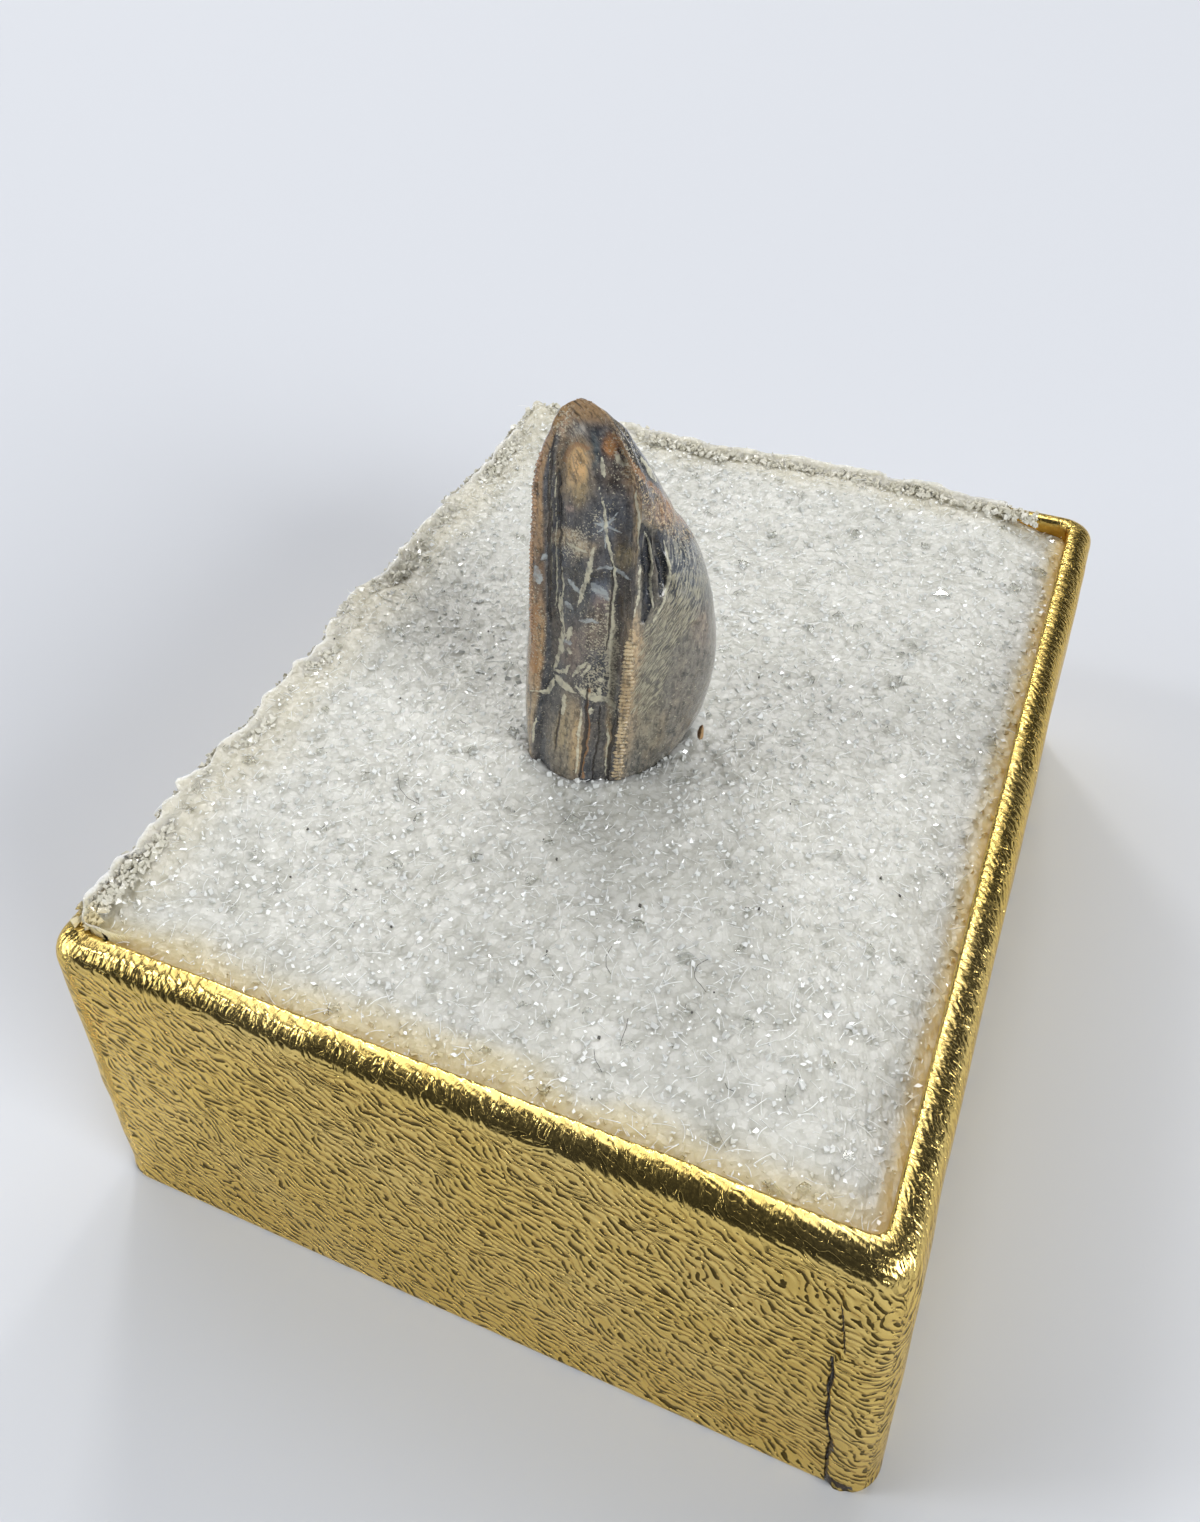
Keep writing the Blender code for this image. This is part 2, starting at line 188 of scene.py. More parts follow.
def build_mesh(name, points, faces, material, smooth=True):
    """An object from points in millimetres and an (n, 3) or (n, 4) array of corners, or a list of both."""
    groups = faces if isinstance(faces, list) else [faces]
    groups = [np.asarray(g, np.int32) for g in groups if len(g)]
    mesh = bpy.data.meshes.new(name)
    mesh.vertices.add(len(points))
    mesh.vertices.foreach_set("co", (np.asarray(points, float) * MM).astype(np.float32).ravel())
    corners = np.concatenate([g.ravel() for g in groups])
    sizes = np.concatenate([np.full(len(g), g.shape[1], np.int32) for g in groups])
    mesh.loops.add(len(corners))
    mesh.loops.foreach_set("vertex_index", corners)
    mesh.polygons.add(len(sizes))
    mesh.polygons.foreach_set("loop_start", np.concatenate([[0], np.cumsum(sizes)[:-1]]).astype(np.int32))
    mesh.polygons.foreach_set("use_smooth", np.full(len(sizes), smooth))
    mesh.update(calc_edges=True)
    mesh.validate()
    mesh.materials.append(material)
    item = bpy.data.objects.new(name, mesh)
    bpy.context.scene.collection.objects.link(item)
    return item


def add_values(item, name, values):
    """Stores one number, or three, for each point of an object's mesh."""
    values = np.asarray(values, np.float32)
    if values.ndim == 1:
        layer = item.data.attributes.new(name, "FLOAT", "POINT")
        layer.data.foreach_set("value", values)
    else:
        layer = item.data.attributes.new(name, "FLOAT_VECTOR", "POINT")
        layer.data.foreach_set("vector", values.ravel())


def ring_faces(rows, columns):
    """Quads between rows of a closed loft whose rows each have the same number of points."""
    r = np.arange(rows - 1)[:, None] * columns
    c = np.arange(columns)[None, :]
    n = (c + 1) % columns
    quads = np.stack(np.broadcast_arrays(r + c, r + n, r + columns + n, r + columns + c), -1)
    return quads.reshape(-1, 4)


def fan_faces(ring, centre, flip=False):
    """Triangles from a closed ring of points to one centre point."""
    after = np.roll(ring, -1)
    middle = np.full(len(ring), centre)
    return np.stack([after, ring, middle] if flip else [ring, after, middle], -1)


def loft_faces(rows, columns):
    """A closed loft's faces, whose first and last rows meet two more points at the list's end."""
    ring = np.arange(columns)
    total = rows * columns
    first = fan_faces(ring, total, flip=True)
    last = fan_faces(ring + total - columns, total + 1)
    return [ring_faces(rows, columns), first, last]


# Materials


class Nodes:
    """A short way to write a material's node tree. A value is a number, a colour or another node's output."""

    def __init__(self, name):
        self.material = bpy.data.materials.new(name)
        self.material.use_nodes = True
        self.tree = self.material.node_tree
        self.shader = self.tree.nodes["Principled BSDF"]

    def put(self, socket, value):
        if isinstance(value, bpy.types.NodeSocket):
            self.tree.links.new(value, socket)
        elif socket.type == "RGBA" and len(value) == 3:
            socket.default_value = (*value, 1.0)
        else:
            socket.default_value = value

    def add(self, kind, sockets, **settings):
        """A new node's outputs, with its settings and the values of its sockets by name or number."""
        node = self.tree.nodes.new(kind)
        for key, value in settings.items():
            setattr(node, key, value)
        for key, value in sockets.items():
            self.put(node.inputs[key], value)
        return node.outputs

    def math(self, operation, *values):
        return self.add("ShaderNodeMath", dict(enumerate(values)), operation=operation)[0]

    def times(self, first, *others):
        for value in others:
            first = self.math("MULTIPLY", first, value)
        return first

    def plus(self, first, second):
        return self.math("ADD", first, second)

    def minus(self, first, second):
        return self.math("SUBTRACT", first, second)

    def span(self, value, low, high, out_low=0.0, out_high=1.0):
        """A value from one range moved smoothly to another, held at its ends."""
        values = (value, low, high, out_low, out_high)
        return self.add("ShaderNodeMapRange", dict(enumerate(values)), interpolation_type="SMOOTHSTEP")[0]

    def mix(self, factor, first, second, blend="MIX"):
        sockets = {0: factor, 6: first, 7: second}
        return self.add("ShaderNodeMix", sockets, data_type="RGBA", blend_type=blend)[2]

    def attribute(self, name, output="Fac"):
        return self.add("ShaderNodeAttribute", {}, attribute_name=name)[output]

    def parts(self, vector):
        return self.add("ShaderNodeSeparateXYZ", {0: vector})

    def place(self, scale=(1, 1, 1), turn=(0, 0, 0), source=None):
        """Coordinates in millimetres, turned and then scaled."""
        if source is None:
            source = self.add("ShaderNodeTexCoord", {})["Object"]
            scale = tuple(s / MM for s in scale)
        turned = self.add("ShaderNodeMapping", {"Vector": source, "Rotation": turn})[0]
        return self.add("ShaderNodeMapping", {"Vector": turned, "Scale": scale})[0]

    def noise(self, vector, scale, detail=2.0, rough=0.5, output="Fac"):
        sockets = {"Vector": vector, "Scale": scale, "Detail": detail, "Roughness": rough}
        return self.add("ShaderNodeTexNoise", sockets)[output]

    def cells(self, vector, scale, feature="F1", output="Distance"):
        return self.add("ShaderNodeTexVoronoi", {"Vector": vector, "Scale": scale}, feature=feature)[output]

    def warp(self, vector, scale, amount):
        """Coordinates pushed about by noise."""
        push = self.noise(vector, scale, 1.0, output="Color")
        centred = self.add("ShaderNodeVectorMath", {0: push, 1: (0.5, 0.5, 0.5)}, operation="SUBTRACT")[0]
        scaled = self.add("ShaderNodeVectorMath", {0: centred, "Scale": amount}, operation="SCALE")[0]
        return self.add("ShaderNodeVectorMath", {0: vector, 1: scaled}, operation="ADD")[0]

    def bump(self, height, distance, strength=1.0, under=None):
        """A bump of a height from 0 to 1, with its real depth in millimetres."""
        sockets = {"Strength": strength, "Distance": distance * MM, "Height": height}
        if under is not None:
            sockets["Normal"] = under
        return self.add("ShaderNodeBump", sockets)[0]

    def finish(self, colour, roughness, normal=None, **constants):
        """Fills the shader's sockets and gives the finished material."""
        self.put(self.shader.inputs["Base Color"], colour)
        self.put(self.shader.inputs["Roughness"], roughness)
        if normal is not None:
            self.put(self.shader.inputs["Normal"], normal)
        for name, value in constants.items():
            self.shader.inputs[name.replace("_", " ")].default_value = value
        return self.material


def floor_material():
    return Nodes("pale_floor").finish((0.63, 0.65, 0.69), 0.9, Specular_IOR_Level=0.1)


GOLD = (0.78, 0.57, 0.175)
GOLD_PALE = (0.81, 0.61, 0.22)
# Painted shade in the embossed grooves.
GOLD_GROOVE_SHADE = (0.036, 0.023, 0.008)
GOLD_INSIDE = (0.85, 0.52, 0.10)
GOLD_EDGE_TINT = (1.0, 0.86, 0.60, 1.0)
CARD_BASE = (0.62, 0.60, 0.55)
CARD_FROM = 7.5
# Near black seam: the foil's gap and the painted shadow of the flap's edge.
SEAM_GAP_AND_SHADOW = (0.035, 0.025, 0.02)
GRAIN_PERIOD = 0.43
GRAIN_LENGTH = 1.0
GRAIN_EVEN = 0.86
GRAIN_DEPTH = 0.07
GRAIN_TURN_FRONT = math.radians(58)
GRAIN_TURN_SIDE = math.radians(150)
GRAIN_SWAY = 2.2
# Where the grain fades out at the foot of the round rim, measured up the wall.
RIM_FROM = BOX_HEIGHT - SHOULDER
# Where the foil turns down inside the rim, measured up the wall and over it.
INSIDE_FROM = RIM_FROM + SHOULDER * math.pi / 2 + 0.4


def foil_grain(m, sheet, turn):
    """Waves across the foil that wander and swirl."""
    swirled = m.warp(m.warp(sheet, 0.2, 1.1), 0.75, 0.85)
    sway = m.times(m.minus(m.noise(sheet, 0.4, 1.0), 0.5), GRAIN_SWAY)
    sockets = {"Vector": swirled, "Scale": 1.0 / GRAIN_LENGTH, "Frequency": GRAIN_LENGTH / GRAIN_PERIOD,
               "Anisotropy": GRAIN_EVEN, "Orientation": m.plus(turn, sway)}
    phase = m.add("ShaderNodeTexGabor", sockets, gabor_type="2D")["Phase"]
    return m.math("COSINE", m.times(phase, 2 * math.pi))


def gold_material():
    """Foil paper with a fine embossed grain of short wavy dashes, their grooves painted dark as shade, and
    creases over the rim.
    """
    m = Nodes("gold_foil")
    along, profile, turn = m.parts(m.attribute("foil", "Vector"))
    sheet = m.add("ShaderNodeCombineXYZ", {0: along, 1: profile})[0]
    wave = foil_grain(m, sheet, turn)
    length = m.noise(m.warp(sheet, 1.5, 0.3), 1.5, 2.0, 0.6)
    cut = m.span(length, 0.42, 0.60, -1.2, -0.12)
    dash = m.span(wave, m.minus(cut, 0.05), m.plus(cut, 0.12), 1.0, 0.0)
    inside = m.span(profile, INSIDE_FROM, INSIDE_FROM + 0.4)
    uneven_profile = m.plus(profile, m.times(m.minus(length, 0.5), 2.0))
    wall = m.span(uneven_profile, RIM_FROM - 0.1, RIM_FROM + 0.5, 1.0, 0.25)
    wall = m.times(wall, m.minus(1.0, inside))
    dash = m.times(dash, wall)
    gold = m.mix(m.span(m.noise(sheet, 0.13, 2.0), 0.35, 0.7), GOLD, GOLD_PALE)
    # The grooves of the dashes get a near black colour: painted shade.
    gold = m.mix(m.times(dash, 0.97), gold, GOLD_GROOVE_SHADE)
    gold = m.mix(inside, gold, GOLD_INSIDE)
    ragged = m.times(m.minus(m.noise(sheet, 4.0, 2.0), 0.5), 0.6)
    seam = m.span(m.plus(m.attribute("seam"), ragged), 0.42, 0.55)
    # The seam is painted near black: partly the gap in the foil, partly painted shadow along the flap's edge.
    gold = m.mix(seam, gold, SEAM_GAP_AND_SHADOW)
    card = m.span(profile, -CARD_FROM - 0.1, -CARD_FROM, 1.0, 0.0)
    gold = m.mix(card, gold, CARD_BASE)
    fine = m.noise(sheet, 8.0, 2.0)
    height = m.times(m.minus(m.times(wave, 0.4), dash), wall)
    height = m.plus(height, m.times(fine, m.plus(0.02, m.times(wall, 0.08))))
    crease = m.noise(m.place(scale=(3.2, 0.9, 1), source=m.warp(sheet, 1.0, 0.5)), 1.0, 3.0, 0.6)
    on_rim = m.times(m.minus(1.0, wall), m.minus(1.0, inside))
    crease_depth = m.span(turn, GRAIN_TURN_FRONT, GRAIN_TURN_SIDE, 1.0, 2.6)
    height = m.plus(height, m.times(crease, m.times(on_rim, crease_depth)))
    m.put(m.shader.inputs["Metallic"], m.minus(1.0, m.math("MAXIMUM", card, seam)))
    rough = m.span(fine, 0.3, 0.7, 0.17, 0.27)
    return m.finish(gold, rough, m.bump(height, GRAIN_DEPTH), Specular_Tint=GOLD_EDGE_TINT)


FILL_PALE = (0.67, 0.665, 0.615)
FILL_DULL = (0.56, 0.555, 0.50)
# Painted shade where the filling's crumbs meet.
FILL_CELL_EDGE_SHADE = (0.42, 0.42, 0.38)
# Painted bounce light from the gold walls on the filling.
GOLD_BOUNCE_TONE = (0.64, 0.54, 0.29)
CRUMB_DULL = (0.60, 0.61, 0.58)
CRUMB_PALE = (0.74, 0.75, 0.73)
CHIP_DARK = (0.20, 0.10, 0.045)
CHIP_PALE = (0.42, 0.26, 0.12)


def bed_material():
    """The white, slightly see-through body of the filling under its loose grains."""
    m = Nodes("filling_bed")
    spot = m.place()
    loose = m.warp(spot, 1.5, 0.3)
    shade = m.parts(m.cells(loose, 1.9, output="Color"))[0]
    patch = m.plus(m.times(m.noise(spot, 0.3, 3.0), 0.7), m.times(shade, 0.3))
    colour = m.mix(m.span(patch, 0.3, 0.7), FILL_DULL, FILL_PALE)
    # Darker lines along the cells' edges: painted shade between the crumbs.
    cell_edge_shade = m.span(m.cells(loose, 1.9, feature="DISTANCE_TO_EDGE"), 0.0, 0.05, 1.0, 0.0)
    broken = m.span(m.noise(spot, 0.9, 1.0), 0.46, 0.62)
    colour = m.mix(m.times(cell_edge_shade, broken, 0.4), colour, FILL_CELL_EDGE_SHADE)
    # Painted reflected light: the gold walls tint the filling near them.
    tinted = m.mix(m.attribute("gold_bounce"), colour, GOLD_BOUNCE_TONE)
    facets = m.bump(m.cells(loose, 2.5), 0.11, 0.8)
    normal = m.bump(m.noise(spot, 7.0, 2.0), 0.03, 0.6, under=facets)
    return m.finish(tinted, 0.27, normal, Subsurface_Weight=1.0, Subsurface_Scale=1.2 * MM,
                    Subsurface_Radius=(1.0, 1.0, 0.95))


def crumb_material():
    """White glassy crumbs whose flat sides glint."""
    m = Nodes("filling_crumb")
    colour = m.mix(m.span(m.noise(m.place(), 1.3, 1.0), 0.35, 0.65), CRUMB_DULL, CRUMB_PALE)
    # Painted reflected light: the gold walls tint the crumbs near them.
    return m.finish(m.mix(m.attribute("gold_bounce"), colour, GOLD_BOUNCE_TONE), 0.10, IOR=1.55)


def clear_material():
    """Clear grains."""
    return Nodes("filling_clear").finish((0.97, 0.98, 0.97), 0.03, Transmission_Weight=1.0, IOR=1.3)


def fibre_material():
    """Bright thin fibres and glinting flakes."""
    return Nodes("filling_fibre").finish((0.90, 0.91, 0.89), 0.10, IOR=1.8)


def hair_material():
    """Dark dust and stray hairs."""
    return Nodes("filling_hair").finish((0.085, 0.08, 0.07), 0.5)


def chip_material():
    """Brown, matt and grainy."""
    m = Nodes("brown_chip")
    spot = m.place()
    colour = m.mix(m.span(m.noise(spot, 3.0, 3.0), 0.35, 0.65), CHIP_DARK, CHIP_PALE)
    return m.finish(colour, 0.6, m.bump(m.noise(spot, 8.0, 2.0), 0.03))


# Camera, light and floor


def camera_axes():
    """The camera's right, up and forward directions."""
    heading, down, roll = (math.radians(a) for a in (CAMERA_HEADING, CAMERA_DOWN, CAMERA_ROLL))
    flat = math.cos(down)
    forward = Vector((-math.sin(heading) * flat, math.cos(heading) * flat, -math.sin(down)))
    level = forward.cross(Vector((0, 0, 1))).normalized()
    upright = level.cross(forward)
    right = level * math.cos(roll) + upright * math.sin(roll)
    up = upright * math.cos(roll) - level * math.sin(roll)
    return right, up, forward


def make_camera():
    right, up, forward = camera_axes()
    data = bpy.data.cameras.new("camera")
    data.sensor_width = SENSOR
    data.lens = SENSOR * FOCAL_PIXELS / IMAGE_HEIGHT
    data.shift_x = (IMAGE_WIDTH / 2 - AXIS_PIXEL[0]) / IMAGE_HEIGHT
    data.shift_y = (AXIS_PIXEL[1] - IMAGE_HEIGHT / 2) / IMAGE_HEIGHT
    data.clip_start = 0.005
    data.clip_end = 20.0
    camera = bpy.data.objects.new("camera", data)
    turn = Matrix((right, up, -forward)).transposed().to_4x4()
    camera.matrix_world = Matrix.Translation(Vector(CAMERA_AT) * MM) @ turn
    bpy.context.scene.collection.objects.link(camera)
    bpy.context.scene.camera = camera


def sight_line(pixel):
    """The direction in which the camera sees a pixel of the photograph."""
    right, up, forward = camera_axes()
    across = (pixel[0] - AXIS_PIXEL[0]) / FOCAL_PIXELS
    down = (pixel[1] - AXIS_PIXEL[1]) / FOCAL_PIXELS
    return (forward + right * across - up * down).normalized()


def area_light(name, direction, distance, size, watts, colour):
    """A soft light at a direction and distance from the box, turned to face it."""
    data = bpy.data.lights.new(name, "AREA")
    data.shape = "RECTANGLE"
    data.size = size[0] * MM
    data.size_y = size[1] * MM
    data.energy = watts
    data.color = colour
    light = bpy.data.objects.new(name, data)
    away = Vector(direction).normalized()
    target = Vector((0, 0, BOX_HEIGHT))
    light.matrix_world = (Matrix.Translation((target + away * distance) * MM)
                          @ away.to_track_quat("Z", "Y").to_matrix().to_4x4())
    bpy.context.scene.collection.objects.link(light)


def make_light():
    """A dim room, wide soft boxes behind, above, left and right, and three compact lamps for glints."""
    world = bpy.data.worlds.new("studio")
    world.use_nodes = True
    background = world.node_tree.nodes["Background"]
    background.inputs["Color"].default_value = (0.035, 0.037, 0.042, 1)
    background.inputs["Strength"].default_value = 1.0
    bpy.context.scene.world = world
    area_light("back_softbox", (-0.20, 0.82, 0.54), 1500, (1600, 760), 3.2, (1.0, 0.98, 0.95))
    area_light("top_softbox", (-0.20, 0.36, 0.91), 1300, (1450, 800), 7.9, (0.98, 0.98, 1.0))
    area_light("left_softbox", (-0.86, -0.42, 0.34), 950, (560, 460), 3.5, (0.96, 0.98, 1.0))
    area_light("right_softbox", (0.86, -0.34, 0.42), 1000, (560, 460), 9.2, (0.96, 0.98, 1.0))
    area_light("back_lamp", (-0.42, 0.60, 0.68), 900, (130, 130), 1.4, (1.0, 0.99, 0.97))
    area_light("high_lamp", (-0.05, 0.66, 0.76), 900, (90, 90), 0.8, (1.0, 0.99, 0.97))
    area_light("front_lamp", (-0.62, -0.30, 0.72), 900, (120, 120), 1.1, (0.98, 0.99, 1.0))


# The floor ends a little way in front of the box, so that the rim's front mirrors the dim room.
FLOOR_LEFT = -420.0
FLOOR_RIGHT = 330.0
FLOOR_FRONT = -92.0
FLOOR_BACK = 520.0


def make_floor():
    points = [(FLOOR_LEFT, FLOOR_FRONT, 0), (FLOOR_RIGHT, FLOOR_FRONT, 0), (FLOOR_RIGHT, FLOOR_BACK, 0),
              (FLOOR_LEFT, FLOOR_BACK, 0)]
    floor = build_mesh("floor", np.array(points, float), np.array([[0, 1, 2, 3]]), floor_material())


# Box


FRONT_HALF = BOX_SHORT / 2 - CORNER_OUTER


def rounded_outline(width, length, radius, corner_steps, straight_step, fine_from=None, fine_step=0.07):
    """Points round a rectangle with round corners, and how far round each one is on the outer wall.

    The walk starts at the front wall's left end and runs counter-clockwise seen from above."""
    half_x = width / 2 - radius
    half_y = length / 2 - radius
    outer_y = BOX_LONG / 2 - CORNER_OUTER
    arc = CORNER_OUTER * math.pi / 2
    points = []
    distance = []
    walked = 0.0
    sides = [((-1, -1), (1, -1), FRONT_HALF, 270), ((1, -1), (1, 1), outer_y, 0),
             ((1, 1), (-1, 1), FRONT_HALF, 90), ((-1, 1), (-1, -1), outer_y, 180)]
    for number, (start, stop, half, angle) in enumerate(sides):
        normal = Vector((math.cos(math.radians(angle)), math.sin(math.radians(angle))))
        a = Vector((start[0] * half_x, start[1] * half_y)) + normal * radius
        b = Vector((stop[0] * half_x, stop[1] * half_y)) + normal * radius
        places = np.linspace(0, 2 * half, int(round(2 * half / straight_step)), endpoint=False)
        if number == 0 and fine_from is not None:
            places = np.concatenate([places[places < fine_from], np.arange(fine_from, 2 * half, fine_step)])
        for place in places:
            points.append(a.lerp(b, place / (2 * half)))
            distance.append(walked + place)
        walked += 2 * half
        centre = Vector((stop[0] * half_x, stop[1] * half_y))
        for k in range(corner_steps):
            turn = math.radians(angle + 90 * k / corner_steps)
            points.append(centre + Vector((math.cos(turn), math.sin(turn))) * radius)
            distance.append(walked + arc * k / corner_steps)
        walked += arc
    return np.array([tuple(p) for p in points]), np.array(distance)


# The foil's seam on the front wall, as seen in the photograph.
SEAM_UPPER = [(842, 1306), (844, 1330), (845, 1353)]
SEAM_LOWER = [(832, 1358), (833, 1375), (828, 1390), (829, 1404), (826, 1418), (831, 1445), (827, 1456),
              (826, 1475), (829, 1491)]
SEAM_FOLD = [(829, 1478), (846, 1489)]
SEAM_START = 34.6
FLAP_LIFT = 0.16


def on_front_wall(pixel):
    """Where a pixel of the photograph meets the front wall: how far along it, and how high."""
    ray = sight_line(pixel)
    reach = (-BOX_LONG / 2 - CAMERA_AT[1]) / ray.y
    return CAMERA_AT[0] + ray.x * reach + FRONT_HALF, CAMERA_AT[2] + ray.z * reach


def distance_to_line(points, line):
    """How far points (n, 2) are from a line of several straight parts."""
    nearest = np.full(len(points), 1e9)
    line = np.asarray(line, float)
    for a, b in zip(line[:-1], line[1:]):
        along = b - a
        share = np.clip((points - a) @ along / max(along @ along, 1e-12), 0, 1)
        nearest = np.minimum(nearest, np.linalg.norm(points - a - share[:, None] * along, axis=1))
    return nearest


def seam_fields(foil):
    """The seam's dark line, a gap with painted shadow along the flap's edge, and how much the flap beside it
    lies on top.
    """
    front = foil[:, 0] < 2 * FRONT_HALF + 6.0
    places = foil[:, :2]
    gap = np.zeros(len(foil))
    for line, width in ((SEAM_UPPER, 0.05), (SEAM_LOWER, 0.09), (SEAM_FOLD, 0.22)):
        wall_line = [on_front_wall(p) for p in line]
        away = distance_to_line(places[front], wall_line)
        gap[front] = np.maximum(gap[front], np.clip(1 - away / (2 * width), 0, 1))
    edge = np.array([on_front_wall(p) for p in SEAM_LOWER[::-1] + SEAM_UPPER[::-1]])
    edge_at = np.interp(foil[:, 1], edge[:, 1], edge[:, 0])
    lifted = smoothstep(-0.03, 0.06, foil[:, 0] - edge_at) * (1 - smoothstep(4.0, 9.0, foil[:, 0] - edge_at))
    lifted *= smoothstep(BOX_HEIGHT - 0.5, BOX_HEIGHT - 3.0, foil[:, 1])
    return gap, lifted


def box_profile():
    """Rows of the box's section: how far in, how high, and how far along the foil."""
    rows = [(inset, 0.0, -inset) for inset in (9.0, 7.6, 7.5, 5.0, 2.0, 0.8)]
    for k in range(4):
        angle = math.pi / 2 * k / 3
        inset, rise = FOOT_ROUND * (1 - math.sin(angle)), FOOT_ROUND * (1 - math.cos(angle))
        rows.append((inset, rise, FOOT_ROUND * k / 3))
    start = BOX_HEIGHT - SHOULDER
    rows += [(0.0, z, z) for z in np.arange(FOOT_ROUND + 0.2, start - 0.1, 0.2)]
    for k in range(13):
        angle = math.pi / 2 * k / 12
        inset, rise = SHOULDER * (1 - math.cos(angle)), SHOULDER * math.sin(angle)
        rows.append((inset, start + rise, start + SHOULDER * angle))
    crest = start + SHOULDER * math.pi / 2
    for k in range(1, 6):
        angle = math.pi / 2 * k / 5
        rows.append((SHOULDER + INNER_EDGE * math.sin(angle), BOX_HEIGHT - INNER_EDGE * (1 - math.cos(angle)),
                     crest + INNER_EDGE * angle))
    turned = crest + INNER_EDGE * math.pi / 2
    rows += [(WALL, BOX_HEIGHT - INNER_EDGE - 0.3 * k, turned + 0.3 * k) for k in range(1, 12)]
    rows.append((WALL, FLOOR, turned + 14.0))
    return rows


def make_box(material):
    """The foil skin: base, wall, round rim and the strip that is turned in, with slight waves."""
    rows = box_profile()
    points = []
    foil = []
    for inset, z, profile in rows:
        radius = max(CORNER_OUTER - inset * (CORNER_OUTER - CORNER_INNER) / WALL, CORNER_INNER)
        width, length = BOX_SHORT - 2 * inset, BOX_LONG - 2 * inset
        ring, walked = rounded_outline(width, length, radius, 10, 0.36, SEAM_START)
        points.append(np.column_stack([ring, np.full(len(ring), z)]))
        foil.append(np.column_stack([walked, np.full(len(ring), profile), np.zeros(len(ring))]))
    columns = len(points[0])
    points = np.concatenate(points)
    foil = np.concatenate(foil)
    share = points[:, :2] / [BOX_SHORT / 2, BOX_LONG / 2]
    normal = np.column_stack([np.where(np.abs(share) > 0.9, np.sign(share), 0.0), np.zeros(len(points))])
    on_wall = smoothstep(0.0, 1.5, foil[:, 1])
    wave = 0.08 * smooth_noise(foil, 7.0, 3) + 0.035 * smooth_noise(foil, 1.5, 5)
    gap, lifted = seam_fields(foil)
    push = (wave - 0.05) * on_wall + FLAP_LIFT * lifted - 0.18 * smoothstep(0.3, 0.8, gap)
    outer = 1.0 - smoothstep(INSIDE_FROM - 0.4, INSIDE_FROM, foil[:, 1])
    points += normal * (push * outer)[:, None]
    rim = smoothstep(BOX_HEIGHT - SHOULDER, BOX_HEIGHT, points[:, 2])
    points[:, 2] += rim * (0.05 * smooth_noise(foil * [1, 0, 0], 2.1, 9) - 0.03)
    side = np.abs(points[:, 0]) / BOX_SHORT > np.abs(points[:, 1]) / BOX_LONG
    foil[:, 2] = np.where(side, GRAIN_TURN_SIDE, GRAIN_TURN_FRONT)
    points = np.vstack([points, [[0, 0, 0], [0, 0, FLOOR]]])
    foil = np.vstack([foil, [[0, -20, 0], [0, 40, 0]]])
    box = build_mesh("gold_box", points, loft_faces(len(rows), columns), material)
    add_values(box, "foil", foil)
    add_values(box, "seam", np.concatenate([gap, [0, 0]]))
    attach(box, "root")
    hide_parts("box_tray")


# Tooth surface


FACE_COLUMNS = 86
FLANK_COLUMNS = 52
BACK_COLUMNS = 26
LEFT_COLUMNS = 34
TOOTH_ROW_STEP = 0.062


def bezier(p0, p1, p2, p3, t):
    t = t[None, :, None]
    u = 1.0 - t
    p0, p1, p2, p3 = (p[:, None, :] for p in (p0, p1, p2, p3))
    return p0 * u**3 + p1 * (3 * u * u * t) + p2 * (3 * u * t * t) + p3 * t**3


def face_part(left, right, h):
    """The face between the cutting edges, with its shallow relief and its swollen foot."""
    across = unit(right - left)
    outward = np.stack([across[:, 1], -across[:, 0]], -1)
    fade = 1.0 - smoothstep(RELIEF_FADE_FROM, TOOTH_HEIGHT, h)
    swell = FOOT_SWELL * (1.0 - smoothstep(0.0, FOOT_SWELL_TOP, h))
    s = np.linspace(0, 1, FACE_COLUMNS)
    relief = curve(FACE_RELIEF, s)[None, :] * fade[:, None]
    relief = relief + swell[:, None] * (1.0 - np.abs(2.0 * s - 1.0) ** 4)[None, :]
    straight = left[:, None, :] + (right - left)[:, None, :] * s[None, :, None]
    return straight + outward[:, None, :] * relief[:, :, None]


def flank_part(start, right, flank, middle, h):
    """The flank from the right cutting edge to its widest place, with two shallow chipped furrows."""
    reach = np.linalg.norm(flank - right, axis=1)[:, None]
    turn = math.radians(42)
    leave = right + np.array([math.cos(turn), math.sin(turn)]) * (0.38 * reach)
    arrive = flank - np.stack([np.zeros(len(h)), 0.42 * (flank[:, 1] - right[:, 1])], -1)
    t = (np.arange(FLANK_COLUMNS) + 1) / (FLANK_COLUMNS + 1)
    line = bezier(right, leave, arrive, flank, t)
    line += (start - right)[:, None, :] * (np.clip(1 - t / 0.12, 0, 1) ** 2)[None, :, None]
    inward = unit(middle[:, None, :] - line)
    span = smoothstep(CHIP_LOW, CHIP_LOW + 1.6, h) * (1 - smoothstep(CHIP_HIGH - 1.6, CHIP_HIGH, h))
    depth = sum(d * np.clip(1.0 - np.abs(t - c) / CHIP_HALF_WIDTH, 0, 1) for c, d in CHIPS)
    return line + inward * (span[:, None] * depth[None, :])[:, :, None]


def round_part(first, second, x_share, y_share):
    """A rounded corner between two places, with how far it has gone in x and in y at each column."""
    return np.stack([first[:, None, 0] + (second - first)[:, None, 0] * x_share,
                     first[:, None, 1] + (second - first)[:, None, 1] * y_share], -1)


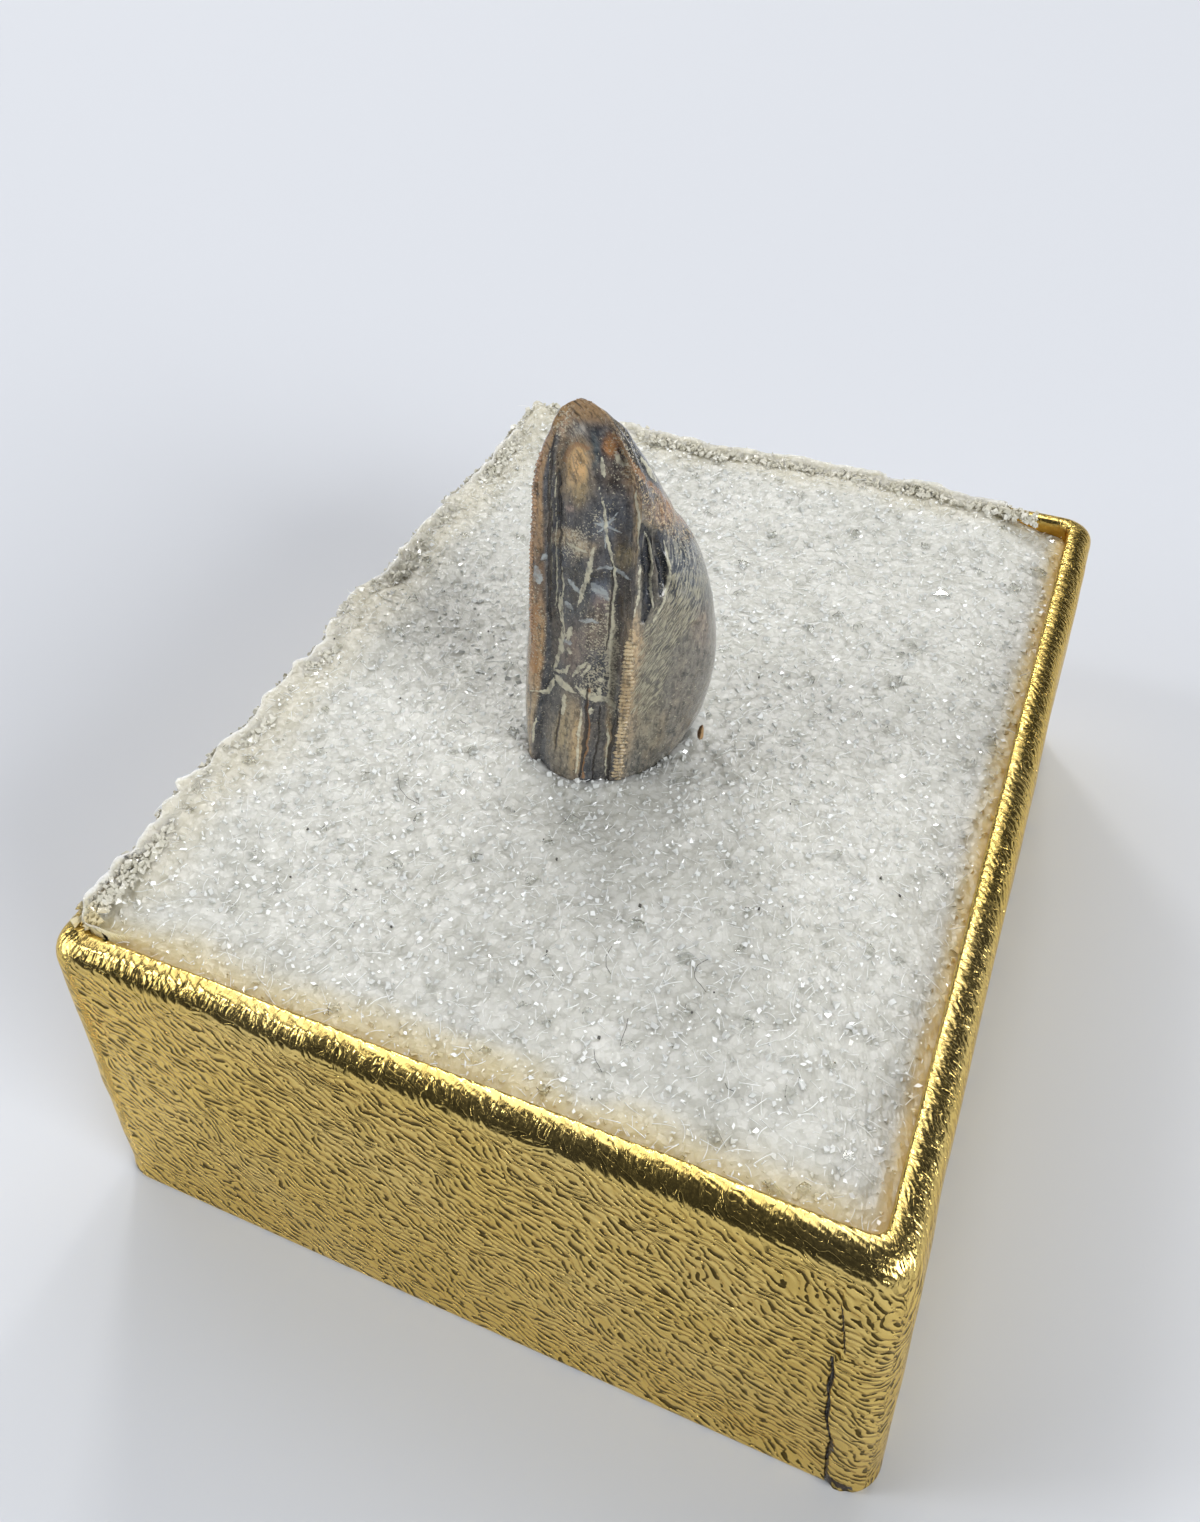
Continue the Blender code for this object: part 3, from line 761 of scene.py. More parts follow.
def tooth_rings(heights, grow=0.0):
    """The tooth's outlines at many heights, as points (rows, columns, 2)."""
    h = np.asarray(heights, float)
    pairs = ((LEFT_EDGE_X, LEFT_EDGE_Y), (RIGHT_EDGE_X, RIGHT_EDGE_Y), (FLANK_X, FLANK_Y), (BACK_X, BACK_Y),
             (LEFT_SIDE_X, LEFT_SIDE_Y))
    left, right, flank, back, side = (np.stack([curve(x, h), curve(y, h)], -1) for x, y in pairs)
    face = face_part(left, right, h)
    flank_curve = flank_part(face[:, -1], right, flank, 0.5 * (back + left), h)
    a = np.pi / 2 * np.arange(BACK_COLUMNS) / BACK_COLUMNS
    right_back = round_part(flank, back, 1 - np.cos(a), np.sin(a))
    left_back = round_part(back, side, np.sin(a), 1 - np.cos(a))
    turn_in = side - np.stack([np.zeros(len(h)), 0.5 * (side[:, 1] - left[:, 1])], -1)
    meet = left + np.array([-0.2, 0.3]) * np.linalg.norm(side - left, axis=1)[:, None]
    left_curve = bezier(side, turn_in, meet, left, np.arange(LEFT_COLUMNS) / LEFT_COLUMNS)
    rings = np.concatenate([face, flank_curve, right_back, left_back, left_curve], axis=1)
    if grow:
        run = np.roll(rings, -1, axis=1) - np.roll(rings, 1, axis=1)
        out = np.stack([run[:, :, 1], -run[:, :, 0]], -1)
        rings = rings + out / np.maximum(np.linalg.norm(out, axis=2), 1e-9)[:, :, None] * grow
    return rings


# The tooth's markings. Places are pixels of the photograph, and a line starts with its half width.

CREAM_LINES = [
    (1.5, (599, 487), (604, 508), (606, 524), (607, 541), (615, 567), (614, 608), (610, 648), (608, 696)),
    (2.6, (595, 546), (591, 562), (584, 585), (578, 606)),
    (1.6, (560, 592), (561, 606), (563, 623)),
    (2.2, (563, 628), (560, 653), (554, 669)),
    (2.4, (571, 626), (568, 641)),
    (2.8, (568, 647), (569, 655)),
    (2.2, (554, 669), (566, 671), (571, 664)),
    (2.4, (554, 672), (562, 683), (576, 693)),
    (2.9, (575, 685), (588, 696), (607, 699), (623, 713)),
    (1.8, (572, 677), (579, 668), (588, 661)),
    (1.6, (580, 676), (592, 664)),
    (2.0, (531, 691), (547, 692), (554, 677)),
    (2.8, (564, 694), (563, 714)),
    (2.6, (592, 708), (591, 714)),
    (2.2, (599, 688), (600, 695)),
    (3.2, (602, 679), (603, 683)),
    (1.4, (608, 684), (609, 704)),
    (1.3, (646, 532), (652, 563), (650, 590), (653, 612)),
    (1.6, (664, 540), (670, 567), (665, 600), (656, 618), (652, 628)),
    (1.2, (636, 488), (639, 528), (638, 552)),
    (1.0, (641, 560), (638, 590), (634, 618)),
    (0.8, (551, 450), (551, 520), (550, 600)),
    (0.7, (556, 455), (556, 540), (557, 618)),
    (0.9, (562, 560), (563, 600), (566, 640)),
    (1.5, (601, 455), (604, 478)),
    (1.4, (614, 451), (620, 463), (632, 466)),
    (1.8, (641, 456), (648, 468), (657, 482)),
    (1.2, (583, 700), (578, 740), (576, 774)),
    (1.3, (566, 541), (577, 550), (588, 552)),
    (1.0, (607, 720), (608, 750), (606, 776)),
    (1.0, (535, 716), (533, 745)),
]
BLUE_LINES = [
    (0.9, (592, 524), (606, 526), (624, 533)),
    (0.9, (597, 515), (606, 527), (604, 550)),
    (0.8, (594, 534), (606, 526), (622, 507)),
    (0.8, (603, 524), (617, 518)),
    (2.2, (596, 568), (606, 566), (616, 569), (631, 579)),
    (2.2, (568, 579), (574, 587), (581, 592)),
    (3.6, (591, 583), (600, 591), (609, 600)),
    (2.0, (566, 602), (572, 610)),
    (1.6, (578, 622), (599, 622)),
    (3.8, (542, 555), (547, 559)),
    (3.2, (537, 567), (540, 583)),
    (2.4, (562, 640), (572, 643)),
]
DARK_LINES = [
    (1.7, (554, 436), (550, 500), (549, 560), (550, 622)),
    (0.9, (559, 455), (560, 520), (561, 590)),
    (1.8, (588, 688), (586, 725), (580, 777)),
    (1.0, (600, 700), (598, 740), (592, 780)),
    (0.9, (560, 705), (556, 750)),
    (1.0, (613, 560), (612, 600), (606, 650)),
    (1.6, (619, 700), (612, 740), (606, 784)),
]
FURROW_LINES = [
    (5.6, (643, 526), (646, 548), (648, 572)),
    (4.0, (648, 572), (648, 592), (645, 622)),
    (5.4, (658, 533), (662, 550), (662, 572)),
    (3.0, (662, 572), (660, 596)),
]
RUST_LINES = [
    (2.6, (566, 462), (570, 450), (578, 445), (586, 449)),
    (2.6, (614, 436), (628, 458), (650, 484), (676, 510), (696, 536)),
    (1.2, (590, 690), (588, 726), (583, 777)),
    (3.5, (536, 606), (533, 640), (533, 668)),
    (2.5, (546, 432), (540, 456), (536, 478)),
    (4.0, (611, 442), (612, 450)),
]
FLECK_AREA = [(668, 570), (711, 574), (703, 608), (676, 648), (668, 676), (661, 700), (643, 718), (624, 711),
              (631, 690), (637, 658), (643, 629), (660, 606)]
HATCH_AREA = [(664, 528), (692, 526), (706, 560), (714, 592), (706, 612), (676, 618), (668, 590), (668, 556)]
ROUGH_AREA = [(610, 424), (618, 430), (634, 462), (649, 482), (669, 502), (690, 520), (698, 538), (684, 546),
              (668, 531), (650, 527), (640, 510), (632, 488), (620, 468), (611, 440)]

FACE_TONE = tone(60, 63, 69)
FLANK_TONE = tone(92, 90, 83)
BACK_TONE = tone(88, 86, 86)
BAND_TONE = tone(156, 124, 84)
BAND_LOW_TONE = tone(150, 130, 102)
TIP_TONE = tone(148, 120, 86)
HATCH_TURN = math.radians(32)
# Soft patches: middle, half width and height, strength, and the colour as it looks on a screen.
FACE_PATCHES = [
    (628, 660, 9, 44, 0.7, 150, 128, 98),
    (583, 407, 28, 16, 0.9, 146, 120, 90),
    (566, 424, 8, 18, 0.7, 184, 152, 118),
    (578, 431, 15, 9, 0.8, 112, 104, 98),
    (582, 430, 6, 5, 0.7, 190, 186, 176),
    (577, 471, 16, 31, 0.95, 170, 144, 100),
    (578, 466, 9, 19, 0.95, 206, 166, 110),
    (580, 492, 10, 12, 0.6, 142, 124, 86),
    (595, 450, 4, 20, 0.85, 66, 76, 80),
    (611, 446, 8, 11, 0.95, 168, 118, 72),
    (611, 475, 11, 16, 0.8, 88, 74, 60),
    (615, 484, 7, 9, 0.8, 56, 47, 41),
    (633, 470, 9, 26, 0.8, 172, 140, 104),
    (652, 507, 16, 15, 0.8, 160, 128, 94),
    (553, 500, 4, 60, 0.7, 60, 62, 68),
    (574, 518, 12, 12, 0.8, 62, 60, 60),
    (571, 509, 5, 4, 0.6, 170, 146, 130),
    (566, 537, 13, 8, 0.85, 170, 150, 116),
    (585, 548, 11, 8, 0.85, 174, 156, 126),
    (606, 527, 9, 9, 0.5, 116, 122, 132),
    (621, 540, 8, 14, 0.8, 56, 48, 42),
    (625, 557, 8, 12, 0.8, 136, 120, 80),
    (638, 532, 5, 34, 0.85, 158, 136, 100),
    (582, 576, 17, 18, 0.95, 28, 33, 40),
    (600, 592, 10, 12, 0.5, 96, 108, 124),
    (624, 588, 9, 26, 0.85, 50, 42, 38),
    (603, 603, 10, 10, 0.75, 120, 104, 100),
    (597, 630, 13, 20, 0.7, 122, 108, 94),
    (575, 650, 13, 24, 0.7, 124, 106, 94),
    (612, 650, 4, 60, 0.6, 152, 144, 124),
    # Painted shade in the concave groove beside the lower comb of denticles.
    (622, 650, 6, 34, 0.9, 64, 52, 44),
    (590, 690, 8, 10, 0.6, 68, 66, 64),
    (566, 735, 14, 40, 0.85, 154, 138, 106),
    (556, 702, 5, 12, 0.8, 56, 56, 58),
    (558, 758, 9, 12, 0.7, 98, 92, 82),
    (576, 740, 6, 34, 0.8, 174, 150, 114),
    (601, 738, 12, 36, 0.85, 80, 76, 72),
    (609, 735, 3, 32, 0.7, 160, 140, 106),
    (602, 774, 10, 14, 0.9, 54, 52, 50),
]
FLANK_PATCHES = [
    (645, 455, 26, 48, 0.95, 42, 45, 47),
    (668, 512, 16, 14, 0.8, 162, 124, 86),
    (690, 532, 9, 10, 0.6, 142, 114, 86),
    (690, 562, 22, 40, 0.9, 114, 118, 118),
    (655, 570, 14, 42, 0.85, 84, 78, 72),
    (670, 640, 30, 60, 0.7, 110, 107, 97),
    (690, 690, 26, 50, 0.6, 102, 97, 91),
    (648, 725, 16, 30, 0.6, 122, 113, 93),
    # Painted sheen: the paler patch where the lower flank's gloss catches the light.
    (705, 630, 12, 26, 0.6, 112, 103, 97),
    (650, 770, 30, 16, 0.7, 84, 82, 76),
    (690, 720, 14, 30, 0.5, 104, 96, 84),
    (634, 640, 9, 26, 0.85, 176, 152, 118),
    (630, 680, 8, 60, 0.7, 158, 136, 104),
]
BAND_PATCHES = [
    (540, 578, 9, 34, 0.75, 90, 72, 62),
    (534, 650, 8, 40, 0.5, 160, 124, 82),
    (536, 720, 10, 24, 0.5, 164, 144, 114),
]
# Where fine cream specks crowd: middle, half width and height, strength.
SPECK_PATCHES = [
    (611, 650, 7, 62, 1.0),
    (575, 542, 17, 17, 1.0),
    (597, 640, 17, 32, 0.7),
    (590, 682, 15, 17, 1.0),
    (625, 455, 16, 34, 0.7),
    (602, 520, 14, 14, 0.6),
    (538, 640, 9, 66, 0.5),
    (566, 425, 12, 20, 0.8),
    (690, 545, 22, 30, 0.6),
]


def tooth_material():
    """Fossil enamel: slate and brown mottling under cream veins, dark cracks and rusty edges."""
    m = Nodes("fossil_enamel")
    times = m.times
    skin = m.attribute("skin", "Vector")
    colour = m.attribute("tint", "Color")
    spot = m.place()
    marks = []
    for name in ("marks_one", "marks_two", "marks_three"):
        marks += list(m.parts(m.attribute(name, "Vector")))
    cream, blue, dark, rust, flecks, hatch, furrow, rough_edge, specks = marks

    def overlay(weight, shade):
        return m.mix(weight, colour, shade)

    def darker(shade):
        return m.mix(1.0, colour, shade, "MULTIPLY")

    def paler(shade):
        return m.mix(1.0, colour, shade, "ADD")

    streak = m.noise(m.place(scale=(4.5, 1.1, 1), source=m.warp(skin, 1.2, 0.3)), 1.0, 3.0, 0.6)
    speckle = m.noise(spot, 4.2, 3.0, 0.65)
    blots = m.noise(m.place(scale=(2.4, 1.3, 1), source=m.warp(skin, 2.0, 0.3)), 1.0, 4.0, 0.7)
    pits = m.noise(spot, 9.0, 2.0, 0.6)
    grit = m.noise(spot, 5.5, 3.0, 0.75)
    ragged = times(m.minus(m.noise(spot, 8.0, 3.0, 0.7), 0.5), 1.15)
    faded = m.span(m.noise(spot, 3.0, 1.0), 0.35, 0.6, 0.5, 1.0)
    slanted = m.place(scale=(7.5, 1.0, 1), turn=(0, 0, HATCH_TURN), source=m.warp(skin, 1.6, 0.2))
    slant = m.noise(slanted, 1.0, 2.0, 0.55)
    fine_slant = m.noise(slanted, 1.6, 2.0, 0.65)
    fleck = m.span(m.plus(fine_slant, times(flecks, 0.2)), 0.66, 0.78)
    speck = m.span(m.plus(pits, times(specks, 0.16)), 0.64, 0.72)
    rusted = m.span(m.plus(rust, ragged), 0.30, 0.70)
    blued = times(m.span(m.plus(blue, ragged), 0.30, 0.62), faded)
    creamed = times(m.span(m.plus(cream, ragged), 0.34, 0.58), faded)
    cracked = m.span(m.plus(dark, times(ragged, 0.5)), 0.35, 0.58)

    colour = overlay(times(m.span(streak, 0.50, 0.58), 0.65), darker((0.36, 0.38, 0.42)))
    colour = overlay(times(m.span(speckle, 0.54, 0.66), 0.6), paler((0.085, 0.078, 0.062)))
    colour = overlay(times(m.span(blots, 0.53, 0.62), 0.42), paler((0.12, 0.10, 0.07)))
    colour = overlay(times(m.span(blots, 0.47, 0.38), 0.7), darker((0.32, 0.34, 0.38)))
    colour = overlay(times(m.span(speckle, 0.46, 0.36), 0.6), darker((0.34, 0.33, 0.33)))
    layers = [(times(m.span(slant, 0.46, 0.55), hatch, 0.92), tone(50, 57, 66)),
              (times(m.span(slant, 0.45, 0.38), hatch, 0.65), tone(164, 162, 150)),
              (times(m.span(furrow, 0.30, 0.52), 0.97), tone(26, 31, 40)),
              (times(fleck, 0.7), tone(184, 178, 152)),
              (times(rough_edge, m.span(grit, 0.52, 0.62), 0.85), tone(222, 196, 154)),
              (times(rough_edge, m.span(grit, 0.46, 0.38), 0.8), tone(88, 58, 40)),
              (times(rusted, 0.65), tone(168, 120, 70)),
              (times(speck, 0.75), tone(204, 196, 172)),
              (times(blued, 0.8), tone(184, 192, 194)),
              (times(creamed, 0.92), tone(212, 207, 182)),
              (times(cracked, 0.85), tone(40, 32, 29))]
    for weight, shade in layers:
        colour = overlay(weight, shade)

    height = times(m.noise(m.place(scale=(14.0, 1.6, 1), source=skin), 1.0, 2.0, 0.6), 0.5)
    raised = (times(speckle, 0.9), times(pits, 0.5), times(creamed, 0.45), times(rough_edge, grit, 2.5),
              times(fleck, 0.30))
    for part in raised:
        height = m.plus(height, part)
    height = m.minus(height, times(cracked, 0.9))
    rough = m.plus(0.17, times(m.math("MAXIMUM", creamed, fleck), 0.20))
    rough = m.plus(rough, times(rough_edge, 0.06))
    return m.finish(colour, rough, m.bump(height, 0.055), IOR=1.6, Coat_Weight=0.5, Coat_Roughness=0.08)


def seen_at(points):
    """The pixels of the photograph at which points in millimetres are seen."""
    right, up, forward = (np.array(a) for a in camera_axes())
    away = points - np.array(CAMERA_AT)
    depth = away @ forward
    return np.column_stack([AXIS_PIXEL[0] + FOCAL_PIXELS * (away @ right) / depth,
                            AXIS_PIXEL[1] - FOCAL_PIXELS * (away @ up) / depth])


def grid_normals(grid):
    """Outward directions of a closed loft's points (rows, columns, 3)."""
    across = np.roll(grid, -1, axis=1) - np.roll(grid, 1, axis=1)
    upward = np.gradient(grid, axis=0)
    normal = np.cross(across, upward)
    return normal / np.maximum(np.linalg.norm(normal, axis=2), 1e-12)[:, :, None]


def line_field(pixels, lines, taper=0.0):
    """From 1 in the middle of the nearest stroke, through 0.5 at its edge, down to 0.

    A tapered stroke is thinner toward both of its ends."""
    field = np.zeros(len(pixels))
    for half_width, *line in lines:
        line = np.asarray(line, float)
        steps, walked = walk_along(line)
        for k in range(len(steps)):
            along = (line[k + 1] - line[k]) / steps[k]
            reach = np.clip((pixels - line[k]) @ along, 0, steps[k])
            away = np.linalg.norm(pixels - line[k] - reach[:, None] * along, axis=1)
            place = (walked[k] + reach) / walked[-1]
            end = 2 * place - 1
            width = half_width * (1 - taper * end ** 4) * (1 - 0.25 * taper * end ** 2)
            field = np.maximum(field, 1 - away / (2 * width))
    return np.clip(field, 0, 1)


def area_field(pixels, corners, soft):
    """1 inside an outline and 0 outside it, with a soft edge."""
    x, y = pixels[:, 0], pixels[:, 1]
    inside = np.zeros(len(pixels), bool)
    for (ax, ay), (bx, by) in zip(corners, corners[1:] + corners[:1]):
        crossed = (ay > y) != (by > y)
        at = (bx - ax) * (y - ay) / np.where(by == ay, 1e-9, by - ay) + ax
        inside ^= crossed & (x < at)
    away = distance_to_line(pixels, corners + corners[:1])
    return np.clip(0.5 + np.where(inside, away, -away) / (2 * soft), 0, 1)


def patch_weight(pixels, patch):
    """How much a soft patch covers each point."""
    x, y, half_width, half_height, strength = patch[:5]
    square = ((pixels[:, 0] - x) / half_width) ** 2 + ((pixels[:, 1] - y) / half_height) ** 2
    return strength * np.exp(-0.8 * square ** 1.6)


def laid_over(tint, colour, weight):
    weight = np.asarray(weight)[:, None]
    return tint * (1 - weight) + np.asarray(colour) * weight


TOOTH_BRIGHTNESS = 1.38


def tooth_colours(pixels, skin, zones, seen, from_left, height):
    """The soft colours under the markings, one for each point."""
    base = [FACE_TONE, FLANK_TONE, BACK_TONE]
    tint = np.array(base)[zones]
    brown = 0.5 * smoothstep(0.0, 0.6, smooth_noise(skin * [1.6, 0.5, 1], 1.0, 43))
    tint = laid_over(tint, tone(126, 108, 84), np.where(zones == 0, 0.5, 1.0) * brown)
    tint = tint * (1.0 + 0.25 * smooth_noise(skin, 1.3, 41)[:, None])
    for patches, zone in ((FACE_PATCHES, 0), (FLANK_PATCHES, 1)):
        for patch in patches:
            tint = laid_over(tint, tone(*patch[5:]), patch_weight(pixels, patch) * seen * (zones == zone))
    band_width = np.interp(height, [0, 12, 16, 20], [0.95, 0.85, 0.55, 0.35])
    band = 0.88 * (1 - smoothstep(0.75, 1.1, from_left / band_width))
    low = smoothstep(6.5, 4.0, height)
    band_tone = laid_over(np.tile(BAND_TONE, (len(low), 1)), BAND_LOW_TONE, low)
    for patch in BAND_PATCHES:
        band_tone = laid_over(band_tone, tone(*patch[5:]), patch_weight(pixels, patch) * seen)
    band_tone = band_tone * (1 + 0.3 * smooth_noise(skin * [1, 2.2, 1], 0.8, 47)[:, None])
    tint = laid_over(tint, band_tone, band)
    tint = laid_over(tint, TIP_TONE, 0.8 * smoothstep(20.4, 21.5, height))
    return np.clip(tint * TOOTH_BRIGHTNESS, 0.004, 0.95)


def tooth_grid():
    """Points of the whole crown (rows, columns, 3)."""
    heights = np.concatenate([np.arange(-TOOTH_SUNK, 20.6, TOOTH_ROW_STEP),
                              20.6 + 1.19 * np.sin(np.linspace(0, np.pi / 2, 40))[:-1]])
    rings = tooth_rings(heights)
    rows, columns = rings.shape[:2]
    levels = np.broadcast_to(heights[:, None, None] + FOOT_LEVEL, (rows, columns, 1))
    return np.concatenate([rings, levels], axis=2)


def tooth_marks(points, skin, exact, seen, zones):
    """Every kind of marking by name, from 0 to 1 for each point."""
    wobble = np.column_stack([smooth_noise(points, 0.6, 51), smooth_noise(points, 0.6, 52)]) * 2.6
    wobble += np.column_stack([smooth_noise(points, 0.22, 53), smooth_noise(points, 0.22, 54)]) * 1.2
    pixels = exact + wobble
    thin = exact + 0.6 * wobble
    front = seen * (zones < 2)
    flank = seen * (zones == 1)
    back = 1.0 - seen
    uneven_width = 0.22 * smooth_noise(points, 0.5, 55) + 0.16 * smooth_noise(points, 0.18, 56)
    marks = {}
    for name, lines in (("cream", CREAM_LINES), ("blue", BLUE_LINES)):
        field = line_field(thin, lines, 0.75)
        marks[name] = np.where(field > 0.05, np.clip(field + uneven_width, 0, 1), 0.0) * front
    marks["dark"] = line_field(thin, DARK_LINES, 0.6) * front
    marks["rust"] = line_field(pixels, RUST_LINES) * front
    marks["furrow"] = line_field(thin, FURROW_LINES, 0.5) * front
    other = smoothstep(0.1, 0.5, smooth_noise(skin, 3.0, 57)) * 0.7 * back
    marks["flecks"] = np.maximum(area_field(pixels, FLECK_AREA, 4.0) * flank, other)
    marks["hatch"] = np.maximum(area_field(pixels, HATCH_AREA, 5.0) * flank, 0.6 * back * (zones > 0))
    marks["rough_edge"] = area_field(pixels, ROUGH_AREA, 3.0) * front
    marks["specks"] = sum(patch_weight(pixels, patch) for patch in SPECK_PATCHES) * front
    return pixels, marks


def tooth_lift(points, skin, height, marks):
    """How far the markings and a little unevenness raise or lower the surface."""
    lift = 0.035 * marks["cream"] + 0.02 * marks["blue"] - 0.07 * marks["dark"] - 0.12 * marks["furrow"]
    lift += 0.07 * marks["rough_edge"] * smooth_noise(points, 0.3, 61)
    lift += 0.025 * smooth_noise(skin, 1.1, 62) + 0.016 * smooth_noise(points, 0.35, 63)
    lift += 0.030 * smoothstep(18.6, 20.2, height) * smooth_noise(points, 0.24, 64)
    return lift * smoothstep(-0.6, 0.3, height) * smoothstep(TOOTH_HEIGHT, TOOTH_HEIGHT - 0.6, height)


def make_tooth(material):
    grid = tooth_grid()
    rows, columns = grid.shape[:2]
    normals = grid_normals(grid).reshape(-1, 3)
    steps = np.linalg.norm(np.roll(grid, -1, axis=1) - grid, axis=2)
    around = np.concatenate([np.zeros((rows, 1)), np.cumsum(steps, axis=1)[:, :-1]], axis=1)
    whole = steps.sum(axis=1)[:, None]
    from_left = np.minimum(around, whole - around).ravel()
    from_right = (around - around[:, FACE_COLUMNS - 1:FACE_COLUMNS]).ravel()
    points = grid.reshape(-1, 3)
    height = points[:, 2] - FOOT_LEVEL
    skin = np.column_stack([from_right, height, np.zeros(len(points))])
    flank_end = FACE_COLUMNS + FLANK_COLUMNS + BACK_COLUMNS
    zones = np.tile(np.digitize(np.arange(columns), [FACE_COLUMNS, flank_end]), rows)
    toward = unit(np.array(CAMERA_AT) - points)
    seen = smoothstep(0.0, 0.14, (normals * toward).sum(axis=1))
    pixels, marks = tooth_marks(points, skin, seen_at(points), seen, zones)
    tint = tooth_colours(pixels, skin, zones, seen, from_left, height)
    points = points + normals * tooth_lift(points, skin, height, marks)[:, None]
    ends = [[*TIP, FOOT_LEVEL + TOOTH_HEIGHT], [*TOOTH_CENTRE, FOOT_LEVEL - TOOTH_SUNK]]
    points = np.vstack([points, ends])
    ring = np.arange(columns)
    faces = [ring_faces(rows, columns), fan_faces(ring + columns * (rows - 1), len(points) - 2),
             fan_faces(ring, len(points) - 1, flip=True)]
    tooth = build_mesh("fossil_tooth", points, faces, material)
    fields = {"skin": skin, "tint": tint}
    groups = {"marks_one": ("cream", "blue", "dark"), "marks_two": ("rust", "flecks", "hatch"),
              "marks_three": ("furrow", "rough_edge", "specks")}
    for name, group in groups.items():
        fields[name] = np.column_stack([marks[kind] for kind in group])
    for name, values in fields.items():
        add_values(tooth, name, np.concatenate([values, values[-1:], values[:1]]))
    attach(tooth, "root")
    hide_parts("tooth")
    return grid


# Denticles: small rounded bars in a row along each cutting edge.
RIGHT_ACROSS = (0.90, 0.42, -0.10)
LEFT_ACROSS = (0.84, -0.52, 0.12)
DENTICLE_SEGMENTS = 8
DENTICLE_RINGS = 5


def denticle_row(edge, across, pitch, low, high, half_length, half_height, half_depth, lift, seed):
    """Rounded bars set across an edge (n, 3) between two heights: their points and faces."""
    rng = np.random.default_rng(seed)
    _, walked = walk_along(edge)
    keep = (edge[:, 2] - FOOT_LEVEL > low) & (edge[:, 2] - FOOT_LEVEL < high)
    start, stop = walked[keep][0], walked[keep][-1]
    at = np.arange(start, stop, pitch)
    at = at + rng.uniform(-0.08, 0.08, len(at)) * pitch
    centre = on_line(at, walked, edge)
    along = unit(on_line(at + 0.1, walked, edge) - centre)
    side = np.tile(np.array(across, float), (len(at), 1))
    side = unit(side - along * (side * along).sum(axis=1)[:, None])
    out = np.cross(side, along)
    taper = np.clip(np.minimum(at - start, stop - at) / 1.2, 0.35, 1.0)[:, None]
    size = rng.uniform([0.72, 0.88, 0.8], [1.12, 1.04, 1.1], (len(at), 3))
    size = size * [half_length, half_height, half_depth]
    centre = centre + side * rng.uniform(-0.05, 0.05, (len(at), 1))
    size[:, [0, 2]] *= taper
    turn = np.linspace(0, 2 * np.pi, DENTICLE_SEGMENTS, endpoint=False)
    place = np.repeat(np.linspace(-1, 1, DENTICLE_RINGS + 2)[1:-1], DENTICLE_SEGMENTS)
    width = (1 - np.abs(place) ** 3.5) ** 0.5
    shape = [np.append(place, [-1, 1]), np.append(width * np.cos(np.tile(turn, DENTICLE_RINGS)), [0, 0]),
             np.append(width * np.sin(np.tile(turn, DENTICLE_RINGS)), [0, 0])]
    points = (centre + out * lift)[:, None, :]
    for direction, half, reach in zip((side, along, out), size.T, shape):
        points = points + direction[:, None, :] * (half[:, None] * reach)[:, :, None]
    quads, first, last = loft_faces(DENTICLE_RINGS, DENTICLE_SEGMENTS)
    caps = np.stack([first, last], 1).reshape(-1, 3)
    offset = (np.arange(len(at)) * points.shape[1])[:, None, None]
    return points.reshape(-1, 3), [(quads + offset).reshape(-1, 4), (caps + offset).reshape(-1, 3)]


def make_denticles(name, material, edge, colours, seed, *shape):
    points, faces = denticle_row(edge, *shape, seed)
    row = build_mesh(name, points, faces, material)
    mix = 0.5 + 0.5 * smooth_noise(points, 0.9, seed)[:, None]
    add_values(row, "tint", np.array(colours[0]) * mix + np.array(colours[1]) * (1 - mix))
    add_values(row, "skin", np.column_stack([points[:, 0], points[:, 2], points[:, 1]]))
    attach(row, "root")
    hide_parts("tooth")


def make_edges(material, grid):
    left = grid[:, 0]
    right = grid[:, FACE_COLUMNS - 1]
    make_denticles("right_denticles", material, right, (tone(222, 202, 162), tone(170, 146, 110)), 71,
                   RIGHT_ACROSS, 0.245, -0.4, 10.5, 0.36, 0.118, 0.11, -0.05)
    make_denticles("left_denticles", material, left, (tone(200, 164, 126), tone(150, 112, 80)), 72,
                   LEFT_ACROSS, 0.215, 7.5, 19.6, 0.19, 0.10, 0.12, -0.02)


# Filling


INNER_X = BOX_SHORT / 2 - WALL
INNER_Y = BOX_LONG / 2 - WALL
# The left heap and spill fade out from here on, near the front.
FRONT_END = -26.2
LEFT_SEED = 1.3
FAR_SEED = 7.1
# Where spill() is read for the left and for the far edge.
SPILL_LEFT_AT = -19.0
SPILL_FAR_AT = 25.4
SPILL_FAR_END = 17.0

BED_SIDES = 700
BED_RINGS = 125
BED_BOTTOM = 14.0
EDGE_RAMP = 0.9
POCKET_GAP = 0.03
PEBBLE = 0.62
PEBBLE_ROUND = 0.4
PEBBLE_TILT = 0.11
PEBBLE_RISE = 0.05
PEBBLE_TABLE = (97, 89)


def lumps(x, y, size=1.0):
    """Smooth noise from about -1 to 1 at many places."""
    return np.array([noise.noise(Vector((a, b, 0.0)) / size) for a, b in np.broadcast(x, y)])


def uneven(place, seed):
    """A smooth uneven value between 0 and 1 along an edge."""
    return np.clip(0.5 + 0.75 * lumps(place / EDGE_LUMP, seed), 0.0, 1.0)


def spill(x, y):
    """How far the filling spreads out over the rim, which it only does at the left and far edges."""
    left = smoothstep(-16.5, -18.5, x) * (0.3 + 0.7 * uneven(y, LEFT_SEED)) * smoothstep(FRONT_END, -24.6, y)
    far = smoothstep(23.0, 25.0, y) * uneven(x, FAR_SEED) * smoothstep(SPILL_FAR_END, 9.0, x)
    return SPILL_MOST * np.maximum(left, far)


